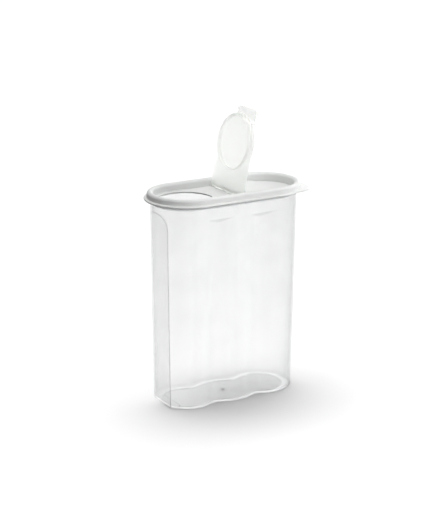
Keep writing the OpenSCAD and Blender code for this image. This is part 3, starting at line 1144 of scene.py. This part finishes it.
    def build_gate(self, material: bpy.types.Material) -> bpy.types.Object:
        """Makes the low round mark under the middle of the floor where the melt came in.

        Args:
            material: the clear plastic.

        Returns:
            The mark, as a piece of its own.
        """
        half_h = self.gate_h / 2
        low = self.foot_h - half_h
        profile = [(self.gate_r, self.foot_h + self.gate_sunk), (self.gate_r, low)]
        for a in arc(self.gate_rows, *self.gate_round):
            profile.append((self.gate_r * math.cos(a), low - half_h * math.sin(a)))
        rings = [circle(self.mid_x, r, z, self.gate_steps) for r, z in reversed(profile)]
        points = [p for ring in rings for p in ring]
        gate = new_piece("tub_gate_mark", points, shut_tube(rings), material)
        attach(gate, Body.CONTAINER.value)
        return gate


# ---------------------------------------------------------------------------------------------
# The lid
# ---------------------------------------------------------------------------------------------


@dataclass(frozen=True)
class Lid:
    """The press-on lid: hollow raised rim, flange with a pull tab, sunken panel, pour opening.

    Attributes:
        tub: the tub that it presses onto.
        wall: thickness of its walls.
        gap: gap between its channel and the tub's rim.
        panel_sink: depth of the panel below the crest.
        panel_t: thickness of the panel.
        panel_fillet: radius where the panel meets the rim.
        step_h: height of the step that the hinge side stands on.
        step_x: distance of the step from the lid's middle.
        step_r: radius of the curved step.
        step_w: width over which the step rounds down.
        flange_out: reach of the flange beyond the rim.
        flange_t: thickness of the flange.
        flange_fillet: radius where the rim's outer wall meets the flange.
        crest_h: height of the crest above the flange.
        pull_out: reach of the pull tab beyond the flange.
        pull_r: radius of the pull tab's outline.
        pull_slope: downward slope of the pull tab in degrees.
        pull_blend: width over which the tab rounds out of the flange.
        droop_blend: width over which the flange bends down into the tab's slope.
        pour_r: radius of the pour opening.
        pour_dx: distance of the opening beyond the centre of the round end.
        edge_r: radius of the lid's small edges.
        channel_rows: rows over the channel's half round.
        crest_rows: rows over the crest's half round.
        brim_rows: rows round the flange's edge.
        flange_rows: rows across each face of the flange.
        flange_fillet_rows: rows round the fillet on the flange.
        fillet_rows: rows round the panel's fillet.
        panel_lead: width of the flat with which each section ends.
        hole_rows: rows round each edge of the pour opening.
        hole_steps: columns round the opening.
        step_parts: lines along the curved step, in widths of the step from its middle.
        step_clear: distance kept clear between those lines and the panel's fillet.
        step_gap: distance across the lid between the points of a line.
        step_points: points on each half of a line.
        sharp_angle: edges sharper than this many degrees stay crisp.
    """

    tub: Tub = field(default_factory=Tub)
    wall: float = 1.4
    gap: float = 0.3
    panel_sink: float = 9.0
    panel_t: float = 1.5
    panel_fillet: float = 1.2
    step_h: float = 0.8
    step_x: float = 61.8
    step_r: float = 146.0
    step_w: float = 0.9
    flange_out: float = 3.2
    flange_t: float = 2.0
    flange_fillet: float = 0.8
    crest_h: float = 6.8
    pull_out: float = 9.9
    pull_r: float = 39.1
    pull_slope: float = 20.0
    pull_blend: float = 3.0
    droop_blend: float = 1.5
    pour_r: float = 30.9
    pour_dx: float = 1.0
    edge_r: float = 0.3
    channel_rows: int = 20
    crest_rows: int = 32
    brim_rows: int = 12
    flange_rows: int = 9
    flange_fillet_rows: int = 8
    fillet_rows: int = 10
    panel_lead: float = 0.5
    hole_rows: int = 4
    hole_steps: int = 160
    step_parts: tuple[float, ...] = (-1.0, -0.6, -0.4, -0.2, 0.0, 0.2, 0.4, 0.6, 1.0)
    step_clear: float = 0.7
    step_gap: float = 0.5
    step_points: int = 70
    sharp_angle: float = 40.0

    @property
    def panel_z(self) -> float:
        """Height of the panel on the hinge side."""
        return self.tub.overall_h - self.panel_sink

    @property
    def channel_in(self) -> float:
        """Inner radius of the channel that takes the tub's mouth."""
        return self.tub.radius(self.panel_z - self.panel_t - self.step_h) - self.tub.wall - self.gap

    @property
    def channel_out(self) -> float:
        """Outer radius of that channel."""
        return self.tub.top_r + self.tub.bead_out + self.gap

    @property
    def rim_in(self) -> float:
        """Radius of the rim's inner wall."""
        return self.channel_in - self.wall

    @property
    def rim_out(self) -> float:
        """Radius of the rim's outer wall."""
        return self.channel_out + self.wall

    @property
    def rim_mid(self) -> float:
        """Radius of the crest."""
        return (self.rim_in + self.rim_out) / 2

    @property
    def rim_half(self) -> float:
        """Half the rim's width, which is the crest's radius."""
        return (self.rim_out - self.rim_in) / 2

    @property
    def rim_top_z(self) -> float:
        """Height of the middle of the crest's half round."""
        return self.tub.overall_h - self.rim_half

    @property
    def flange_z(self) -> float:
        """Height of the flange's underside."""
        return self.tub.overall_h - self.crest_h - self.flange_t

    @property
    def flange_r(self) -> float:
        """Outer radius of the flange."""
        return self.rim_out + self.flange_out

    @property
    def pour_x(self) -> float:
        """Place of the pour opening's centre along X."""
        return self.tub.mid_x - self.tub.span / 2 - self.pour_dx

    @property
    def step_middle(self) -> float:
        """Place of the centre of the curved step along X."""
        return self.tub.mid_x + self.step_x - self.step_r

    def stepped(self, x: float, y: float, z: float) -> float:
        """A height on the panel, lowered past the curved step."""
        past = math.hypot(x - self.step_middle, y) - self.step_r
        return z - self.step_h * ease(0.5 + past / self.step_w)

    def flange_reach(self, column: Column) -> float:
        """Reach of the flange along a column, with the pull tab at the +X end.

        Args:
            column: the upright that is looked along.

        Returns:
            The reach from the column's foot.
        """
        if column.out_x <= 0:
            return self.flange_r
        middle = self.flange_r + self.pull_out - self.pull_r
        inside = self.pull_r**2 - (middle * column.out_y) ** 2
        tab = middle * column.out_x + math.sqrt(max(inside, 0.0))
        if tab <= self.flange_r - self.pull_blend:
            return self.flange_r
        return soft_max(self.flange_r, tab, self.pull_blend)

    def droop(self, r: float) -> float:
        """How far the pull tab has sloped down.

        Args:
            r: the radius.

        Returns:
            The drop at that radius.
        """
        start = self.flange_r - self.flange_t / 2
        if r <= start - self.droop_blend:
            return 0.0
        return soft_max(r - start, 0.0, self.droop_blend) * math.tan(math.radians(self.pull_slope))

    def flange_line(self, first: float, last: float, z: float) -> list[Flat]:
        """The points between two radii on a face of the flange, which the pull tab slopes down.

        Args:
            first: the radius before the first point.
            last: the radius after the last one.
            z: height of the face where it is level.

        Returns:
            The points' radii and heights.
        """
        radii = [first + (last - first) * i / self.flange_rows for i in range(1, self.flange_rows)]
        return [(r, z - self.droop(r)) for r in radii]

    def section(self, column: Column) -> list[Flat]:
        """The lid's section along a column: radius and height from the underside round to the panel.

        Args:
            column: the upright that the section stands on.

        Returns:
            Points from the panel's underside, round the channel, the flange and the crest, to the
            panel's upper face. Heights on the panel are those of its hinge side.
        """
        e, f = self.edge_r, self.flange_fillet
        low = self.panel_z - self.panel_t
        half = self.flange_t / 2
        brim = self.flange_reach(column) - half
        inner = (self.channel_out - self.channel_in) / 2
        path: list[Flat] = [(self.rim_in - self.panel_fillet, low), (self.channel_in - e, low)]
        path += [(self.channel_in, low + e), (self.channel_in, self.rim_top_z)]
        for a in arc(self.channel_rows, 0, 180):
            path.append((self.rim_mid - inner * math.cos(a), self.rim_top_z + inner * math.sin(a)))
        path += [(self.channel_out, self.flange_z + e), (self.channel_out + e, self.flange_z)]
        path += self.flange_line(self.channel_out + e, brim, self.flange_z)
        middle = self.flange_z + half - self.droop(brim)
        for a in arc(self.brim_rows, -90, 90):
            path.append((brim + half * math.cos(a), middle + half * math.sin(a)))
        top = self.flange_z + self.flange_t
        start = self.rim_out + f
        path += self.flange_line(brim, start, top)
        for a in arc(self.flange_fillet_rows):
            path.append((start - f * math.sin(a), top + f - f * math.cos(a)))
        path.append((self.rim_out, self.rim_top_z))
        for a in arc(self.crest_rows, 0, 180):
            x, z = self.rim_half * math.cos(a), self.rim_half * math.sin(a)
            path.append((self.rim_mid + x, self.rim_top_z + z))
        f = self.panel_fillet
        for a in arc(self.fillet_rows):
            path.append((self.rim_in - f + f * math.cos(a), self.panel_z + f - f * math.sin(a)))
        path.append((self.rim_in - f - self.panel_lead, self.panel_z))
        return path

    def step_lines(self, reach: float) -> list[list[Flat]]:
        """Plan lines that follow the curved step, for the panel's mesh to keep.

        Args:
            reach: radius of the round end that the lines stay inside.

        Returns:
            The lines, each from the lid's -Y side to its +Y side.
        """
        east = self.tub.mid_x + self.tub.span / 2
        lines = []
        for part in self.step_parts:
            r = self.step_r + part * self.step_w
            line = []
            for i in range(-self.step_points, self.step_points + 1):
                y = i * self.step_gap
                x = self.step_middle + math.sqrt(r * r - y * y)
                if math.hypot(max(x - east, 0.0), y) < reach:
                    line.append((x, y))
            lines.append(line)
        return lines

    def panel_faces(self, points: list[Point], under: list[int], over: list[int]) -> list[list[int]]:
        """Fills the panel between the sections' ends and the pour opening, and walls the opening.

        Args:
            points: all the lid's points, which get the new ones.
            under: the loop of points that the underside starts from.
            over: the loop of points that the upper face starts from.

        Returns:
            The new faces, as numbers into points.
        """
        low = self.panel_z - self.panel_t
        e = self.edge_r
        first = len(points)
        wall = [
            (self.pour_r + e * (1 - math.sin(a)), self.panel_z - e * (1 - math.cos(a)))
            for a in arc(self.hole_rows)
        ]
        wall += [
            (self.pour_r + e * (1 - math.cos(a)), low + e * (1 - math.sin(a))) for a in arc(self.hole_rows)
        ]
        rings = [circle(self.pour_x, r, z, self.hole_steps) for r, z in wall]
        points += [p for ring in rings for p in ring]
        last = first + (len(wall) - 1) * self.hole_steps
        hole_top = [first + i for i in range(self.hole_steps)]
        hole_low = [last + i for i in range(self.hole_steps)]

        def outside_hole(x: float, y: float) -> bool:
            """Whether a place on plan lies on the panel and not over the pour opening."""
            return math.hypot(x - self.pour_x, y) > self.pour_r

        def upper(x: float, y: float) -> float:
            """Height of the panel's upper face."""
            return self.stepped(x, y, self.panel_z)

        def lower(x: float, y: float) -> float:
            """Height of the panel's underside."""
            return self.stepped(x, y, low)

        lines = self.step_lines(self.rim_in - self.panel_fillet - self.step_clear)
        faces = weave(rings, first)
        faces += flat_sheet([over, hole_top], lines, points, upper, outside_hole, Face.UP)
        faces += flat_sheet([under, hole_low], lines, points, lower, outside_hole, Face.DOWN)
        return faces

    def build(self, material: bpy.types.Material) -> list[bpy.types.Object]:
        """Makes the lid as one closed skin.

        Args:
            material: the white plastic.

        Returns:
            The lid's piece.
        """
        columns = Stadium(self.tub.span, self.tub.mid_x).columns()
        sections = [self.section(column) for column in columns]
        count, rows = len(columns), len(sections[0])
        # The rows that the step lowers: the panel's underside, and from the rim's inner wall inwards.
        level = {0, 1, 2, *range(rows - self.fillet_rows - 3, rows)}
        points: list[Point] = []
        for row in range(rows):
            for column, section in zip(columns, sections):
                r, z = section[row]
                x, y = column.at(r)
                if row in level and r < self.channel_in + self.edge_r:
                    z = self.stepped(x, y, z)
                points.append((x, y, z))
        faces = weave([points[row * count : (row + 1) * count] for row in range(rows)])
        over = [(rows - 1) * count + i for i in range(count)]
        faces += self.panel_faces(points, list(range(count)), over)
        lid = new_piece("lid_skin", points, faces, material, self.sharp_angle)
        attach(lid, Body.LID.value)
        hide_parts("lid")
        return [lid]


# ---------------------------------------------------------------------------------------------
# The flip cap
# ---------------------------------------------------------------------------------------------


@dataclass(frozen=True)
class FlipCap:
    """The flip cap: disc with a plug ring, flared arm, hinge knuckle with stub pins, lift tab.

    It is modelled shut, with its hinge axis at the origin and its disc towards -X, then swung open.

    Attributes:
        lid: the lid that it turns in.
        hinge_x: distance of the hinge axis from the lid's middle.
        hinge_up: height of the hinge axis above the panel.
        knuckle_r: radius of the knuckle.
        pin_r: radius of the stub pins.
        pin_len: length of each stub pin.
        plate_t: thickness of the cap's plate.
        edge_gap: gap between the disc's sides and the rim when shut.
        reach: reach of the disc beyond the middle of the pour opening.
        fillet_gap: gap between the disc and the panel's fillet when shut.
        plug_gap: gap between the plug ring and the pour opening.
        plug_h: height of the plug ring.
        plug_wall: thickness of the plug ring.
        plug_fillet: radius where the ring meets the plate.
        arm_waist: half width of the arm at its waist.
        arm_gap: gap between each end of the knuckle and the rim.
        arm_flare: share of the way to the disc over which the arm flares.
        arm_blend: width over which the arm rounds into the disc.
        tab_w: width of the lift tab.
        tab_out: reach of the lift tab beyond the disc.
        tab_len: length of the lift tab's lip.
        tab_corner_r: radius of the lip's corners.
        tab_gap: gap between the lip and the rim's crest when shut.
        tab_t: thickness of the lift tab.
        tab_bend: radius of the bend between the riser and the lip.
        tab_least: half thickness to which the lip's end thins out.
        open_angle: opening angle from shut.
        edge_r: radius of the plate's edges.
        pin_edge_r: radius of the knuckle's and the pins' edges.
        arm_steps: columns along each side of the arm.
        disc_steps: columns in each quarter of the disc's far half.
        edge_rows: rows round each edge of the plate.
        plug_steps: columns round the plug ring.
        plug_fillet_rows: rows round the ring's fillets.
        plug_lip_rows: rows round the ring's edge.
        pin_steps: columns round the knuckle.
        bend_rows: rows round the tab's bend.
        lip_rows: rows along the straight part of the lip.
        corner_rows: rows along the lip's corners.
        side_rows: rows round each side of the tab.
    """

    lid: Lid = field(default_factory=Lid)
    hinge_x: float = 4.8
    hinge_up: float = 2.3
    knuckle_r: float = 1.9
    pin_r: float = 1.5
    pin_len: float = 1.1
    plate_t: float = 1.8
    edge_gap: float = 0.45
    reach: float = 32.4
    fillet_gap: float = 0.45
    plug_gap: float = 0.3
    plug_h: float = 4.0
    plug_wall: float = 1.4
    plug_fillet: float = 0.8
    arm_waist: float = 28.2
    arm_gap: float = 0.6
    arm_flare: float = 0.55
    arm_blend: float = 3.0
    tab_w: float = 39.0
    tab_out: float = 6.6
    tab_len: float = 15.6
    tab_corner_r: float = 4.0
    tab_gap: float = 0.6
    tab_t: float = 1.6
    tab_bend: float = 1.6
    tab_least: float = 0.01
    open_angle: float = 101.0
    edge_r: float = 0.7
    pin_edge_r: float = 0.3
    arm_steps: int = 90
    disc_steps: int = 60
    edge_rows: int = 6
    plug_steps: int = 144
    plug_fillet_rows: int = 8
    plug_lip_rows: int = 12
    pin_steps: int = 48
    bend_rows: int = 8
    lip_rows: int = 4
    corner_rows: int = 14
    side_rows: int = 8

    @property
    def hinge_z(self) -> float:
        """Height of the hinge axis."""
        return self.lid.panel_z + self.hinge_up

    @property
    def disc_x(self) -> float:
        """Place of the disc's centre from the hinge axis, when shut."""
        return self.lid.pour_x - self.lid.tub.mid_x - self.hinge_x

    @property
    def side(self) -> float:
        """Half width of the disc, as wide as the rim allows."""
        return self.lid.rim_in - self.edge_gap

    @property
    def tip(self) -> float:
        """Reach of the disc beyond its centre."""
        return min(self.reach, self.side - self.lid.pour_dx)

    @property
    def plate_z(self) -> float:
        """Height of the plate's lower face from the hinge axis, when shut.

        Returns:
            The height, which clears the panel's fillet under the plate's edge.
        """
        f = self.lid.panel_fillet
        rise = f - math.sqrt(f * f - max(f - self.edge_gap, 0.0) ** 2)
        return rise + self.fillet_gap - self.hinge_up

    @property
    def plug_r(self) -> float:
        """Outer radius of the plug ring."""
        return self.lid.pour_r - self.plug_gap

    @property
    def arm_half_hinge(self) -> float:
        """Half width of the arm at the hinge."""
        return self.lid.rim_in - self.arm_gap

    @property
    def tab_end_x(self) -> float:
        """Place of the lip's end from the hinge axis, when shut."""
        return self.disc_x - self.tip - self.tab_out

    @property
    def tab_z(self) -> float:
        """Height of the lip's lower face from the hinge axis, when shut."""
        return self.lid.tub.overall_h + self.tab_gap - self.hinge_z

    def opened(self, point: Point) -> Point:
        """Swings a point of the shut cap open and puts it on the lid's hinge.

        Args:
            point: a point of the shut cap, from its hinge axis.

        Returns:
            The point of the open cap, in the model's frame.
        """
        x, y, z = point
        a = math.radians(self.open_angle)
        return (
            self.lid.tub.mid_x + self.hinge_x + x * math.cos(a) + z * math.sin(a),
            y,
            self.hinge_z - x * math.sin(a) + z * math.cos(a),
        )

    def arm_half(self, d: float) -> float:
        """Half width of the arm at a distance from the hinge."""
        t = min(d / (-self.disc_x * self.arm_flare), 1.0)
        return self.arm_waist + (self.arm_half_hinge - self.arm_waist) * (1 - t) ** 2

    def outline(self) -> list[Flat]:
        """Plan of the plate: the arm flares out of the disc to the hinge.

        Returns:
            The plan's points, counter-clockwise.
        """
        reach = -self.disc_x
        half = []
        for i in range(self.arm_steps):
            d = reach * i / self.arm_steps
            disc = self.side * math.sqrt(max(1 - ((d - reach) / self.tip) ** 2, 0.0))
            half.append((-d, soft_max(self.arm_half(d), disc, self.arm_blend)))
        for a in arc(self.disc_steps, 90, 180):
            half.append((self.disc_x + self.tip * math.cos(a), self.side * math.sin(a)))
        return half + [(x, -y) for x, y in half[-2::-1]]

    @staticmethod
    def inset(loop: Sequence[Flat], depth: float) -> list[Flat]:
        """Moves a closed loop inwards.

        Args:
            loop: the loop's points, counter-clockwise.
            depth: how far they move.

        Returns:
            The moved points, in the same order.
        """
        moved = []
        for i, (x, y) in enumerate(loop):
            before, after = loop[i - 1], loop[(i + 1) % len(loop)]
            along = Vector((after[0] - before[0], after[1] - before[1]))
            along.normalize()
            moved.append((x - along.y * depth, y + along.x * depth))
        return moved

    def plug_path(self) -> list[Flat]:
        """Section of the plug ring, from its inner fillet round its edge to its outer fillet.

        Returns:
            The section's radii and heights, when shut.
        """
        f, lip = self.plug_fillet, self.plug_wall / 2
        inner = self.plug_r - self.plug_wall
        tip = self.plate_z - self.plug_h + lip
        fillet = arc(self.plug_fillet_rows)
        path = [(inner - f + f * math.sin(a), self.plate_z - f + f * math.cos(a)) for a in fillet]
        for a in arc(self.plug_lip_rows, 0, 180):
            path.append((inner + lip - lip * math.cos(a), tip - lip * math.sin(a)))
        path += [(self.plug_r + f - f * math.cos(a), self.plate_z - f + f * math.sin(a)) for a in fillet]
        return path

    def build_plate(self, material: bpy.types.Material) -> bpy.types.Object:
        """Makes the plate with its plug ring as one closed skin.

        Args:
            material: the milky plastic.

        Returns:
            The plate, swung open.
        """
        e = self.edge_r
        low = self.plate_z
        high = low + self.plate_t
        outline = self.outline()
        rows = [(e * (1 - math.sin(a)), low + e * (1 - math.cos(a))) for a in arc(self.edge_rows)]
        rows += [(e * (1 - math.cos(a)), high - e * (1 - math.sin(a))) for a in arc(self.edge_rows)]
        rings = [[(x, y, z) for x, y in self.inset(outline, depth)] for depth, z in rows]
        points: list[Point] = [p for ring in rings for p in ring]
        faces = weave(rings)
        first = len(points)
        plug = [circle(self.disc_x, r, z, self.plug_steps) for r, z in self.plug_path()]
        points += [p for ring in plug for p in ring]
        faces += weave(plug, first)
        last = first + (len(plug) - 1) * self.plug_steps
        under = list(range(len(outline)))
        over = [(len(rings) - 1) * len(outline) + i for i in under]
        plug_in = [first + i for i in range(self.plug_steps)]
        plug_out = [last + i for i in range(self.plug_steps)]

        def beyond_plug(x: float, y: float) -> bool:
            """Whether a place on plan lies outside the plug ring."""
            return math.hypot(x - self.disc_x, y) > self.plug_r

        faces += flat_sheet([under, plug_out], [], points, lambda x, y: low, beyond_plug, Face.DOWN)
        faces += flat_sheet([plug_in], [], points, lambda x, y: low, lambda x, y: True, Face.DOWN)
        faces += flat_sheet([over], [], points, lambda x, y: high, self.on_plate, Face.UP)
        return new_piece("flip_cap_plate", [self.opened(p) for p in points], faces, material)

    def on_plate(self, x: float, y: float) -> bool:
        """Whether a place on plan, when shut, lies on the plate.

        Args:
            x: distance from the hinge axis, towards -X.
            y: place along the hinge.

        Returns:
            True on the disc and on the arm.
        """
        if math.hypot((x - self.disc_x) / self.tip, y / self.side) < 1:
            return True
        return self.disc_x < x < 0 and abs(y) < self.arm_half(-x) + self.arm_blend / 2

    def build_hinge(self, material: bpy.types.Material) -> bpy.types.Object:
        """Makes the knuckle with a stub pin at each end as one turned skin along Y.

        Args:
            material: the milky plastic.

        Returns:
            The knuckle with its pins.
        """
        end = self.arm_half_hinge
        tip = self.lid.rim_in + self.pin_len
        e = self.pin_edge_r
        half = [(0.0, tip), (self.pin_r - e, tip), (self.pin_r, tip - e), (self.pin_r, end)]
        half += [(self.knuckle_r - e, end), (self.knuckle_r, end - e), (self.knuckle_r, 0.0)]
        path = half + [(r, -y) for r, y in reversed(half[:-1])]
        turned = [circle(0.0, r, y, self.pin_steps) for r, y in reversed(path[1:-1])]
        rings = [[(y, along, x) for x, y, along in ring] for ring in turned]
        points = [self.opened(p) for ring in rings for p in ring]
        return new_piece("flip_cap_hinge", points, shut_tube(rings), material)

    def tab_spine(self) -> list[tuple[float, float, float]]:
        """Middle line of the lift tab: up the riser, round the bend and along the lip to its end.

        Returns:
            Each place's X and Z from the hinge axis, when shut, and the way it heads in degrees.
        """
        half_t, bend, corner = self.tab_t / 2, self.tab_bend, self.tab_corner_r
        riser_x = self.tab_end_x + self.tab_len - half_t
        flat_end = self.tab_end_x + corner
        top = self.tab_z + half_t
        spine = [(riser_x, self.plate_z + self.plate_t / 2, 90.0), (riser_x, top - bend, 90.0)]
        for a in arc(self.bend_rows)[1:]:
            x, z = riser_x - bend + bend * math.cos(a), top - bend + bend * math.sin(a)
            spine.append((x, z, 90 + math.degrees(a)))
        for i in range(1, self.lip_rows + 1):
            spine.append((riser_x - bend + (flat_end - riser_x + bend) * i / self.lip_rows, top, 180.0))
        return spine + [(flat_end - corner * math.sin(a), top, 180.0) for a in arc(self.corner_rows)[1:]]

    def tab_section(self, x: float) -> list[Flat]:
        """Section across the lift tab, narrower along the lip's corners and thinner at its end.

        Args:
            x: place from the hinge axis, when shut.

        Returns:
            The section's points across and off the middle line, counter-clockwise.
        """
        half_t, corner = self.tab_t / 2, self.tab_corner_r
        into = max(self.tab_end_x + corner - x, 0.0)
        half_w = self.tab_w / 2 - corner + math.sqrt(max(corner**2 - into**2, 0.0))
        left = max(x - self.tab_end_x, 0.0)
        round_end = math.sqrt(max(1 - (max(half_t - left, 0.0) / half_t) ** 2, 0.0))
        thin = half_t * round_end + self.tab_least
        near, far = arc(self.side_rows, -90, 90), arc(self.side_rows, 90, 270)
        section = [(half_w - thin + thin * math.cos(b), thin * math.sin(b)) for b in near]
        return section + [(-half_w + thin + thin * math.cos(b), thin * math.sin(b)) for b in far]

    def build_tab(self, material: bpy.types.Material) -> bpy.types.Object:
        """Makes the lift tab: a riser on the disc that bends into a lip over the rim.

        Args:
            material: the milky plastic.

        Returns:
            The tab.
        """
        rings = []
        for x, z, heading in self.tab_spine():
            a = math.radians(heading - 90)
            off_x, off_z = math.cos(a), math.sin(a)
            rings.append([(x + off * off_x, y, z + off * off_z) for y, off in self.tab_section(x)])
        points = [self.opened(p) for ring in rings for p in ring]
        return new_piece("flip_cap_lift_tab", points, shut_tube(rings), material)

    def build(self, material: bpy.types.Material) -> list[bpy.types.Object]:
        """Makes the cap's pieces.

        Args:
            material: the milky plastic.

        Returns:
            The plate, the hinge and the lift tab.
        """
        pieces = [self.build_plate(material), self.build_hinge(material), self.build_tab(material)]
        for piece in pieces:
            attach(piece, Body.FLIP_CAP.value)
        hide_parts("flip_cap")
        return pieces


# ---------------------------------------------------------------------------------------------
# Studio and camera
# ---------------------------------------------------------------------------------------------


@dataclass(frozen=True)
class Studio:
    """A pale floor, a wide soft light overhead and bright walls round about, darkest at the left.

    Attributes:
        floor_size: length of the floor's sides in metres.
        floor_glow: light that the eye sees the floor give off.
        floor_greys: greys of the floor that light bounces off, at the left and at the right.
        floor_fade: places along X in metres between which that grey changes.
        wall_level: level of the light from the walls, at the horizon.
        wall_slope: how that level changes towards +X, +Y and +Z.
        top_light: strength of the light overhead.
        top_width: its width, as an angle in degrees.
        top_from: the direction it comes from.
    """

    floor_size: float = 16.0
    floor_glow: float = 0.05
    floor_greys: Flat = (0.03, 0.6)
    floor_fade: Flat = (-0.12, 0.35)
    wall_level: float = 2.7
    wall_slope: Point = (1.45, -1.3, -6.4)
    top_light: float = 2.4
    top_width: float = 40.0
    top_from: Point = (0.06, 0.17, 1.0)

    def build(self) -> None:
        """Makes the floor, the walls' light and the light overhead."""
        half = self.floor_size / 2
        corners = [(-half, -half, 0.0), (half, -half, 0.0), (half, half, 0.0), (-half, half, 0.0)]
        mesh = bpy.data.meshes.new("studio_floor")
        mesh.from_pydata(corners, [], [(0, 1, 2, 3)])
        mesh.materials.append(self.floor_paper())
        floor = bpy.data.objects.new("studio_floor", mesh)
        bpy.context.scene.collection.objects.link(floor)
        self.light_walls()
        lamp = bpy.data.lights.new("top_light", "SUN")
        lamp.energy = self.top_light
        lamp.angle = math.radians(self.top_width)
        holder = bpy.data.objects.new("top_light", lamp)
        bpy.context.scene.collection.objects.link(holder)
        holder.matrix_world = Vector(self.top_from).to_track_quat("Z", "Y").to_matrix().to_4x4()

    @staticmethod
    def seen_straight(tree: bpy.types.NodeTree) -> bpy.types.Node:
        """Tells what the eye sees directly, in a reflection or through clear plastic.

        Args:
            tree: the tree of the floor or the walls.

        Returns:
            The node whose output is 1 there, and 0 for all other light.
        """
        ray = add_node(tree, "ShaderNodeLightPath").outputs
        straight = {0: ray["Is Camera Ray"], 1: ray["Is Glossy Ray"]}
        direct = add_node(tree, "ShaderNodeMath", straight, operation="MAXIMUM")
        through = {0: direct, 1: ray["Is Transmission Ray"]}
        return add_node(tree, "ShaderNodeMath", through, operation="MAXIMUM")

    def floor_paper(self) -> bpy.types.Material:
        """White sweep paper to the eye, grey to the light that bounces off it.

        Returns:
            The finished material.
        """
        material = bpy.data.materials.new("white_paper_sweep")
        material.use_nodes = True
        tree = material.node_tree
        tree.nodes.clear()
        white = add_node(tree, "ShaderNodeBsdfDiffuse", {"Color": WHITE})
        glow = add_node(tree, "ShaderNodeEmission", {"Strength": self.floor_glow})
        bright = add_node(tree, "ShaderNodeAddShader", {0: white, 1: glow})
        place = add_node(tree, "ShaderNodeNewGeometry").outputs["Position"]
        greys = {
            "Value": add_node(tree, "ShaderNodeSeparateXYZ", {0: place}).outputs["X"],
            "From Min": self.floor_fade[0],
            "From Max": self.floor_fade[1],
            "To Min": self.floor_greys[0],
            "To Max": self.floor_greys[1],
        }
        level = add_node(tree, "ShaderNodeMapRange", greys)
        grey = add_node(tree, "ShaderNodeBsdfDiffuse", {"Color": level})
        sides = {0: self.seen_straight(tree), 1: grey, 2: bright}
        add_node(tree, "ShaderNodeOutputMaterial", {"Surface": add_node(tree, "ShaderNodeMixShader", sides)})
        return material

    def light_walls(self) -> None:
        """Makes the walls white to the eye, and a soft slope of light for everything else."""
        world = bpy.data.worlds.new("studio_walls")
        bpy.context.scene.world = world
        world.use_nodes = True
        tree = world.node_tree
        tree.nodes.clear()
        way = add_node(tree, "ShaderNodeTexCoord").outputs["Generated"]
        turn = add_node(tree, "ShaderNodeVectorMath", {0: way, 1: self.wall_slope}, operation="DOT_PRODUCT")
        slope = turn.outputs["Value"]
        level = add_node(tree, "ShaderNodeMath", {0: slope, 1: self.wall_level}, operation="ADD")
        lit = add_node(tree, "ShaderNodeMath", {0: level, 1: 0.0}, operation="MAXIMUM")
        levels = {0: self.seen_straight(tree), MIX_FIRST: lit, MIX_SECOND: 1.0}
        strength = add_node(tree, "ShaderNodeMix", levels)
        light = add_node(tree, "ShaderNodeBackground", {"Color": WHITE, "Strength": strength})
        add_node(tree, "ShaderNodeOutputWorld", {"Surface": light})


@dataclass(frozen=True)
class Viewpoint:
    """The camera.

    Attributes:
        place: where it stands, in millimetres.
        azimuth: way it looks on plan, in degrees from +Y towards +X.
        dip: how far it looks down, in degrees.
        roll: how far it leans, in degrees.
        lens: focal length in mm.
        sensor: longer side in mm of the frame behind that lens.
        clip_end: how far it sees, in metres.
    """

    place: Point = (-891.89, -1455.06, 662.04)
    azimuth: float = 31.126
    dip: float = 16.589
    roll: float = 0.3126
    lens: float = 110.77
    sensor: float = 36.0
    clip_end: float = 50.0

    def build(self) -> bpy.types.Object:
        """Makes the camera and gives it to the scene.

        Returns:
            The camera.
        """
        a, d, r = (math.radians(v) for v in (self.azimuth, self.dip, self.roll))
        ahead = Vector((math.sin(a) * math.cos(d), math.cos(a) * math.cos(d), -math.sin(d)))
        right = Vector((math.cos(a), -math.sin(a), 0.0))
        up = right.cross(ahead)
        leaned_right = math.cos(r) * right + math.sin(r) * up
        leaned_up = math.cos(r) * up - math.sin(r) * right
        data = bpy.data.cameras.new("view")
        data.lens = self.lens
        data.sensor_width = self.sensor
        data.sensor_fit = "AUTO"
        data.clip_end = self.clip_end
        camera = bpy.data.objects.new("view", data)
        bpy.context.scene.collection.objects.link(camera)
        turn = Matrix((leaned_right, leaned_up, -ahead)).transposed().to_4x4()
        camera.matrix_world = Matrix.Translation(Vector(self.place) * MM) @ turn
        bpy.context.scene.camera = camera
        return camera


def main() -> None:
    """Builds the container, its studio and its camera."""
    logging.basicConfig(level=logging.INFO, format="%(name)s: %(message)s")
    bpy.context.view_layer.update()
    clear = ClearPolypropylene().make()
    white = WHITE_POLYETHYLENE.make()
    milky = MILKY_POLYPROPYLENE.make()
    tub = Tub()
    lid = Lid(tub)
    cap = FlipCap(lid)
    pieces = tub.build(clear) + lid.build(white) + cap.build(milky)
    for piece in pieces:
        LOG.info("%s: %d faces", piece.name, len(piece.data.polygons))
    Studio().build()
    Viewpoint().build()
    bpy.context.scene.view_settings.view_transform = "Standard"


if __name__ == "__main__":
    main()
